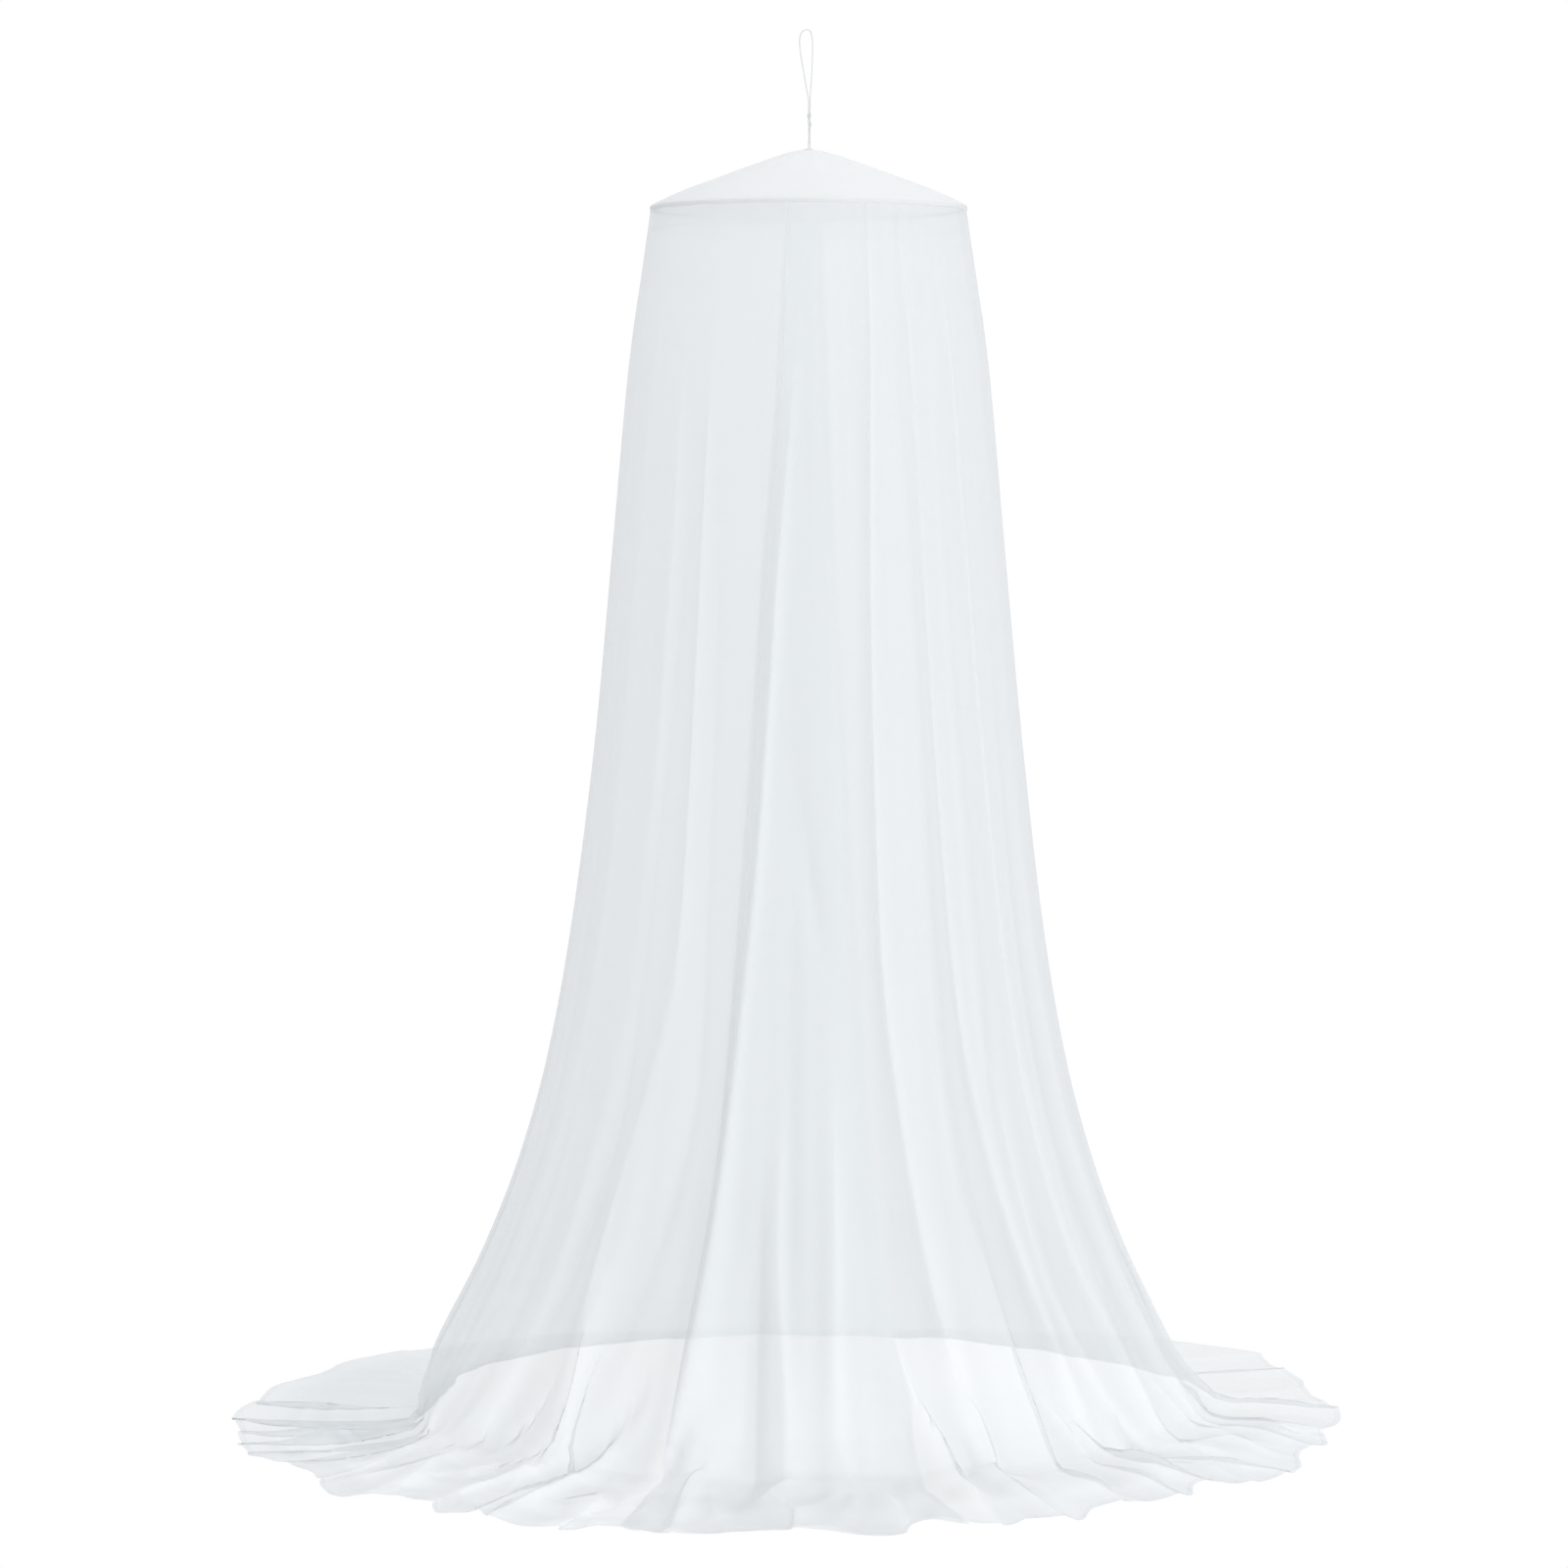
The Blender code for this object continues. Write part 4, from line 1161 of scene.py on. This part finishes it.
def laid_on_floor(rise, azimuth, place, reach):
    """The folds with the billow over the floor added, and laid lower where they lie flat."""
    sideways = np.abs(wrapped(azimuth))
    loft = np.array(FLOOR_LOFT)
    flatter = FLAT_SIDE[2] * beside(azimuth, *FLAT_SIDE[:2])
    rise = rise + (1.0 - flatter) * np.interp(-reach, -loft[:, 0], loft[:, 1])
    under = UNDER_FLATTER * smooth_step(*UNDER_FROM, azimuth)
    lying = smooth_step(*LYING_REACH, reach) * np.maximum(FLAT_SIDE_FOLDS * flatter, under)
    behind = smooth_step(*BEHIND, sideways) * smooth_step(*BEHIND_LEVELS, reach)
    side = beside(sideways, *LOW_SIDE[:2]) * smooth_step(*LOW_SIDE_REACH, reach)
    by_hem = smooth_step(*HEM_LOWER_FROM, over_floor(place))
    rise = rise * (1.0 - lying) * (1.0 - (1.0 - BEHIND_SHARE) * behind)
    rise = rise * (1.0 - LOW_SIDE[2] * side) * (1.0 - HEM_LOWER * by_hem)
    return np.where(reach < 0.0, np.maximum(rise, 0.0), rise)


def relief_for_painted_shade(rise, azimuth):
    """How far each point stands out of the folds beside it, -1 to 1: the mask of the painted highlight on
    crests and painted shade in hollows.
    """
    away = (rise - slow_part(slow_part(rise, PAINTED_SHADE_HALF), PAINTED_SHADE_HALF)) / PAINTED_SHADE_FULL
    behind = smooth_step(*PAINTED_SHADE_BEHIND, np.abs(wrapped(azimuth)))
    return np.clip(away * (1.0 - PAINTED_SHADE_LESS * behind), -1.0, 1.0)


def gathered_finely(azimuth, reach):
    """Where the net is gathered more finely than its mesh: 1 where it gains GATHERED_COVER."""
    turn = wrapped(azimuth)
    front = smooth_step(*GATHERED_REACH, reach) * (1.0 - smooth_step(*GATHERED_TO, np.abs(turn)))
    lap = smooth_step(*SMOOTH_LAP[0], turn) * smooth_step(*SMOOTH_LAP[1], turn)
    begins, ends = TAIL_GATHERED_REACH
    tail = TAIL_GATHERED[2] * beside(turn, *TAIL_GATHERED[:2])
    tail = tail * smooth_step(*begins, reach) * (1.0 - smooth_step(*ends, reach))
    return np.maximum(front * (1.0 - lap), tail)


def tucked_foot(azimuth, reach, radius, height):
    """Radius and height with the cloth drawn back under itself along the foot."""
    back = sum(way * beside(azimuth, centre, half) for centre, half, way in FOOT_TUCKS)
    past = -reach - TUCK_START
    away = np.where(past < 0.0, past / TUCK_SPAN[1], past / TUCK_SPAN[0])
    over = 1.0 - smooth_step(-TUCK_SPAN[1], 0.5 * TUCK_SPAN[0], past)
    lift = TUCK_LIFT * np.minimum(back / TUCK_FULL, 1.0) * over
    return radius - back * np.exp(-away * away), height + lift


def net_points():
    """Points down each column, how far each stands out of the folds (the mask of the painted crest
    highlight and hollow shade), and how finely it is gathered.
    """
    place = net_places()[None, :]
    heights = curve_at([row[0] for row in NET_SECTION], place)
    start = along_line(OVER_EDGE, heights)
    end = 360.0 + along_line(UNDER_EDGE, heights)
    azimuth = blend(start, end, column_shares()[:, None])
    place = np.broadcast_to(place, azimuth.shape)
    radius, height = rest_section(azimuth, place)
    out_r, out_h = outwards(azimuth, place)
    fold, ruffle = [curve_at([row[k] for row in NET_SECTION], place) for k in (3, 4)]
    reach = height - np.maximum(radius - FOOT_RADIUS, 0.0)
    rise, slide = main_folds(azimuth, height, radius, fold)
    for crease in (*CREASES, *loose_ruffles(), *tail_pleats(), *stacked_pleats(), *hoop_gathers()):
        add_crease(crease, azimuth, reach, radius, rise, slide)
    rise += fine_unevenness(azimuth, reach, fold, ruffle)
    clear = blend(LAP_CLEAR_HIGH, LAP_CLEAR_LOW, smooth_step(*LAP_CLEAR_HEIGHTS, height))
    rise += clear * (1.0 - smooth_step(*LAP_RETURN, azimuth))
    rise = laid_on_floor(rise, azimuth, place, reach)
    radius = radius + out_r * rise
    height = np.maximum(height + out_h * rise, SHEET_HALF)
    radius, height = tucked_foot(azimuth, reach, radius, height)
    points = round_points(radius, azimuth + np.degrees(slide / radius), level(height))
    return points, relief_for_painted_shade(rise, azimuth), gathered_finely(azimuth, reach)


def make_net():
    points, stands, gathered = net_points()
    columns, rows = points.shape[:2]
    net = link_mesh("net_drape", points, grid_faces(columns, rows))
    around = run_along(points, 0)
    around_back = around - around[columns // 2]
    down = run_along(points, 1)
    give_uv(net, "cloth", np.stack((around_back, down), axis=-1))
    to_side = np.minimum(around, around[-1] - around)
    to_hem = down[:, -1:] - down
    along = np.where(to_side < to_hem, down, around)
    give_uv(net, "border", np.stack((np.minimum(to_side, to_hem), along), axis=-1))
    # The fold relief in this map paints the crests lighter and the hollows darker.
    give_uv(net, "folds", np.stack((stands, gathered), axis=-1))
    finish_piece(net, cloth_material("fine_net", **NET_CLOTH), "net")
    return net


# ---------------------------------------------------------------- roof, band and patch
def roof_points():
    share = np.linspace(0.0, 1.0, ROOF_ROWS + 1)[None, :]
    azimuth = np.linspace(0.0, 360.0, ROOF_COLUMNS + 1)[:-1, None]
    place = share * (len(ROOF_SECTION) - 1)
    radius = np.maximum(curve_at([row[0] for row in ROOF_SECTION], place), 0.0)
    height = curve_at([row[1] for row in ROOF_SECTION], place)
    pulled = np.zeros((ROOF_COLUMNS, ROOF_ROWS + 1))
    between = np.sin(math.pi * np.clip(radius / ROOF_PULLS_TO, 0.0, 1.0))
    for centre, half_width, depth in ROOF_PULLS:
        away = wrapped(azimuth - centre) / half_width
        pulled += depth * between * np.exp(-away * away)
    radius, azimuth = np.broadcast_arrays(radius, azimuth)
    return round_points(radius, azimuth, HOOP_LEVEL + height - pulled)


def make_roof():
    """Cone roof of closer cloth: pulled tight over the hoop, with a turned and sewn lower edge."""
    points = roof_points()[:, 1:]
    columns, rows = points.shape[:2]
    top = points[:, 0].mean(axis=0)
    top[2] = ROOF_HIGH.z
    faces = grid_faces(columns, rows, closed=True)
    tip = columns * rows
    faces += [(tip, k * rows, (k + 1) % columns * rows) for k in range(columns)]
    roof = link_mesh("roof_cloth", np.vstack((points.reshape(-1, 3), top[None])), faces)
    down = np.linalg.norm(points[:, 0] - top, axis=1)[:, None] + run_along(points, 1)
    turn = np.linspace(0.0, 2.0 * math.pi, columns, endpoint=False)[:, None]
    flat = np.stack((down * np.sin(turn), down * np.cos(turn)), axis=-1).reshape(-1, 2)
    give_uv(roof, "cloth", np.vstack((flat, (0.0, 0.0))))
    mirrored = np.minimum(turn, 2.0 * math.pi - turn) * ROOF_SECTION[-1][0]
    border = np.stack((down[:, -1:] - down, np.broadcast_to(mirrored, down.shape)), axis=-1)
    give_uv(roof, "border", np.vstack((border.reshape(-1, 2), (1.0, 0.0))))
    finish_piece(roof, cloth_material("roof_cloth", **ROOF_CLOTH), "roof")
    return roof


def apply_modifiers(piece):
    bpy.ops.object.select_all(action="DESELECT")
    piece.select_set(True)
    bpy.context.view_layer.objects.active = piece
    for modifier in list(piece.modifiers):
        bpy.ops.object.modifier_apply(modifier=modifier.name)
    piece.select_set(False)


def band_section():
    """The strip's middle line: up outside the hoop, over it, and down inside."""
    reach = HOOP_WIRE_RADIUS + BAND_GAP + BAND_SHEET / 2
    line = []
    for drop in np.linspace(HOOP_LEVEL - BAND_LOW.z, 0.0, BAND_OUTSIDE_ROWS):
        line.append((HOOP_RADIUS + reach, HOOP_LEVEL - drop))
    for turn in np.linspace(0.0, math.pi, BAND_OVER_ROWS)[1:]:
        line.append((HOOP_RADIUS + reach * math.cos(turn), HOOP_LEVEL + reach * math.sin(turn)))
    for drop in np.linspace(0.0, BAND_LIP, BAND_LIP_ROWS)[1:]:
        line.append((HOOP_RADIUS - reach, HOOP_LEVEL - drop))
    return np.array(line)[::-1]


def make_band():
    """Casing strip round the hoop, slightly puckered by its sewing."""
    section = band_section()
    azimuth = np.linspace(0.0, 360.0, BAND_COLUMNS, endpoint=False)[:, None]
    drift = BAND_PUCKER_DRIFT * np.sin(np.radians(BAND_PUCKER_DRIFTS * azimuth))
    drawn = np.sin(np.radians(BAND_PUCKERS * azimuth) + drift) - BAND_PUCKER_IN
    low = np.clip((HOOP_LEVEL - section[:, 1]) / (HOOP_LEVEL - BAND_LOW.z), 0.0, 1.0)[None, :]
    outside = (section[:, 0] > HOOP_RADIUS)[None, :]
    radius = section[:, 0][None, :] + BAND_PUCKER_DEPTH * drawn * low * outside
    height = np.broadcast_to(section[:, 1][None, :], radius.shape)
    azimuth = np.broadcast_to(azimuth, radius.shape)
    points = round_points(radius, azimuth, height)
    columns, rows = points.shape[:2]
    band = link_mesh("hoop_band", points, grid_faces(columns, rows, closed=True))
    down = run_along(points, 1)
    mirrored = np.abs(wrapped(azimuth)) * math.radians(1.0) * HOOP_RADIUS
    give_uv(band, "cloth", np.stack((mirrored, down), axis=-1))
    give_uv(band, "border", np.stack((down[:, -1:] - down, mirrored), axis=-1))
    finish_piece(band, cloth_material("band_cloth", **BAND_CLOTH), "heading_band")
    return band


def make_patch():
    """Round patch sewn on the roof's point: a disc that dips to its rim, where it is stitched."""
    bpy.ops.object.select_all(action="DESELECT")
    rim = PATCH_HIGH.x
    bpy.ops.mesh.primitive_circle_add(vertices=PATCH_SIDES, radius=rim, fill_type="NGON",
                                      location=(0.0, 0.0, PATCH_HIGH.z))
    patch = bpy.context.active_object
    patch.name = "point_patch"
    bpy.ops.object.mode_set(mode="EDIT")
    bpy.ops.mesh.select_all(action="SELECT")
    for ring in PATCH_RINGS:
        bpy.ops.mesh.inset(thickness=ring)
    bpy.ops.object.mode_set(mode="OBJECT")
    place_in_mesh(patch)
    drop = PATCH_HIGH.z - PATCH_LOW.z - BAND_SHEET
    line, line_half, line_depth = PATCH_SEWN
    for vertex in patch.data.vertices:
        away = math.hypot(vertex.co.x, vertex.co.y) / rim
        dip = drop * max(0.0, away - PATCH_LEVEL) / (1.0 - PATCH_LEVEL)
        sewn = line_depth * math.exp(-(((away - line) / line_half) ** 2))
        vertex.co.z = PATCH_HIGH.z - dip - sewn
    wall = patch.modifiers.new("thickness", "SOLIDIFY")
    wall.thickness = BAND_SHEET
    wall.offset = -1.0
    soft = patch.modifiers.new("soft_edge", "BEVEL")
    soft.width = PATCH_EDGE
    soft.segments = 2
    apply_modifiers(patch)
    patch.data.shade_smooth()
    for layer in list(patch.data.uv_layers):
        patch.data.uv_layers.remove(layer)
    places = np.array([vertex.co[:2] for vertex in patch.data.vertices])
    away = np.hypot(places[:, 0], places[:, 1])
    give_uv(patch, "cloth", places)
    turn = np.abs(np.arctan2(places[:, 0], places[:, 1]))
    give_uv(patch, "border", np.stack((rim - away + PATCH_BORDER, turn * rim), axis=-1))
    material = cloth_material("patch_cloth", **PATCH_CLOTH)
    return finish_piece(patch, material, "apex_patch")


def place_in_mesh(piece):
    bpy.context.view_layer.update()
    piece.data.transform(piece.matrix_world)
    piece.matrix_world.identity()


# ---------------------------------------------------------------- the string
def even_route(points, step):
    """Points a step apart along the smooth curve through the points."""
    points = np.array(points, float)
    fine = np.linspace(0.0, len(points) - 1, 40 * len(points))
    line = np.column_stack([curve_at(points[:, k], fine) for k in range(3)])
    run = np.concatenate(([0.0], np.cumsum(np.linalg.norm(np.diff(line, axis=0), axis=1))))
    wanted = np.linspace(0.0, run[-1], max(2, int(round(run[-1] / step))) + 1)
    return np.column_stack([np.interp(wanted, run, line[:, k]) for k in range(3)])


def rope_mesh(name, route):
    """String of three twisted plies along the route, closed at its ends."""
    route = np.asarray(route)
    ahead = np.gradient(route, axis=0)
    ahead /= np.linalg.norm(ahead, axis=1)[:, None]
    side = np.cross(ahead[0], (0.0, 1.0, 0.0) if abs(ahead[0][1]) < 0.9 else (1.0, 0.0, 0.0))
    run = np.concatenate(([0.0], np.cumsum(np.linalg.norm(np.diff(route, axis=0), axis=1))))
    turns = np.linspace(0.0, 2.0 * math.pi, CORD_SIDES, endpoint=False)
    rings = []
    for point, forward, gone in zip(route, ahead, run):
        side = side - forward * np.dot(side, forward)
        side /= np.linalg.norm(side)
        up = np.cross(forward, side)
        plies = np.cos(CORD_PLIES * (turns - CORD_TWIST * gone))
        radius = CORD_RADIUS * (1.0 - CORD_PLY_DEPTH * (0.5 - 0.5 * plies))
        rings.append(point + radius[:, None] * (np.outer(np.cos(turns), side)
                                                + np.outer(np.sin(turns), up)))
    points = np.array(rings)
    count = len(points)
    faces = []
    for ring in range(count - 1):
        for k in range(CORD_SIDES):
            a, b = ring * CORD_SIDES + k, ring * CORD_SIDES + (k + 1) % CORD_SIDES
            faces.append((a, b, b + CORD_SIDES, a + CORD_SIDES))
    faces.append(tuple(range(CORD_SIDES))[::-1])
    faces.append(tuple(range((count - 1) * CORD_SIDES, count * CORD_SIDES)))
    rope = link_mesh(name, points, faces)
    mirrored = np.minimum(turns, 2.0 * math.pi - turns)[None, :] * CORD_RADIUS
    give_uv(rope, "cloth", np.stack(np.broadcast_arrays(mirrored, run[:, None]), axis=-1))
    return rope


def pair_route(phase):
    """One of the two strings between the knot and the patch, from the knot down."""
    share = np.linspace(0.0, 1.0, PAIR_STEPS + 1)
    rows = np.array(PAIR_ROUTE, float)
    place = np.interp(share, rows[:, 0], np.arange(len(rows)))
    half = curve_at(rows[:, 1], place)
    turn = np.radians(curve_at(rows[:, 2], place) + phase)
    z = blend(KNOT_LOW.z, TWIST_LOW.z, share)
    return np.column_stack((KNOT_X + half * np.cos(turn), half * np.sin(turn), z))


def make_string(material):
    """The whole string: up from the patch, through the knot, round the loop and down again."""
    loop = [(x, 0.0, z) for x, z in LOOP_ROUTE]
    route = np.vstack((pair_route(0.0)[::-1], loop, pair_route(180.0)))
    route = even_route(route, CORD_STEP)
    string = rope_mesh("string", route)
    finish_piece(string, material, "cord_loop")
    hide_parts("cord_twist")
    knot = make_knot(material)
    return string


def make_knot(material):
    """Knot of the string: turns wound round the pair, and its cut end."""
    middle = (KNOT_LOW.z + KNOT_HIGH.z) / 2
    half = (KNOT_HIGH.z - KNOT_LOW.z) / 2 - CORD_RADIUS
    route = []
    for share in np.linspace(0.0, 1.0, KNOT_STEPS + 1):
        turn = 2.0 * math.pi * KNOT_TURNS * share
        out = KNOT_OUT[0] + KNOT_OUT[1] * math.sin(math.pi * share)
        z = middle + half * (1.0 - 2.0 * share) + KNOT_WANDER * math.sin(turn)
        route.append((KNOT_X + out * math.cos(turn), out * math.sin(turn), z))
    knot = rope_mesh("string_knot", even_route((*route, *KNOT_END), KNOT_STEP))
    return finish_piece(knot, material, "cord_knot")


# ---------------------------------------------------------------- stage, light and camera
def glow_strength(tree, lit):
    """Strength of a glow: the camera sees plain white, and the cloth is lit by its own value."""
    path = tree.nodes.new("ShaderNodeLightPath")
    return map_range(tree, path.outputs["Is Camera Ray"], 0.0, 1.0, lit, SEEN_WHITE)


def make_stage():
    bpy.ops.object.select_all(action="DESELECT")
    bpy.ops.mesh.primitive_circle_add(vertices=96, radius=STAGE_RADIUS, fill_type="NGON",
                                      location=(0.0, 0.0, FLOOR - STAGE_GAP))
    floor = bpy.context.active_object
    floor.name = "floor"
    place_in_mesh(floor)
    made = bpy.data.materials.new("pale_floor")
    made.use_nodes = True
    tree = made.node_tree
    tree.nodes.clear()
    out = tree.nodes.new("ShaderNodeOutputMaterial")
    glow = tree.nodes.new("ShaderNodeEmission")
    tree.links.new(glow_strength(tree, FLOOR_LIGHT), glow.inputs["Strength"])
    tree.links.new(glow.outputs["Emission"], out.inputs["Surface"])
    floor.data.materials.append(made)
    world = bpy.data.worlds.new("studio")
    bpy.context.scene.world = world
    world.use_nodes = True
    tree = world.node_tree
    back = tree.nodes["Background"]
    back.inputs["Color"].default_value = (1.0, 1.0, 1.0, 1.0)
    tree.links.new(glow_strength(tree, ROOM_LIGHT), back.inputs["Strength"])


def aim(thing, place, target):
    direction = np.array(target, float) - np.array(place, float)
    flat = math.hypot(direction[0], direction[1])
    thing.location = place
    thing.rotation_euler = (
        math.atan2(flat, -direction[2]),
        0.0,
        math.atan2(-direction[0], direction[1]),
    )


def make_lights():
    for name, place, target, size, power in LIGHTS:
        data = bpy.data.lights.new(name, "AREA")
        data.shape = "DISK"
        data.size = size
        data.energy = power
        lamp = bpy.data.objects.new(name, data)
        bpy.context.collection.objects.link(lamp)
        aim(lamp, (*place[:2], level(place[2])), (*target[:2], level(target[2])))


def make_camera():
    data = bpy.data.cameras.new("camera")
    data.lens = CAMERA_LENS
    data.sensor_width = SENSOR
    camera = bpy.data.objects.new("camera", data)
    bpy.context.collection.objects.link(camera)
    camera.location = (CAMERA_ASIDE, -CAMERA_DISTANCE, level(CAMERA_HEIGHT))
    camera.rotation_euler = (math.radians(90.0 - CAMERA_DOWN), 0.0, 0.0)
    bpy.context.scene.camera = camera


def finish_hoop():
    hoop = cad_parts["hoop"]
    finish = hoop_material()
    for place in hoop.material_slots:
        place.material = finish


bpy.context.scene.view_settings.view_transform = "Standard"
make_camera()
make_string(string_material())
make_stage()
make_lights()
finish_hoop()
make_roof()
make_band()
make_patch()
make_net()
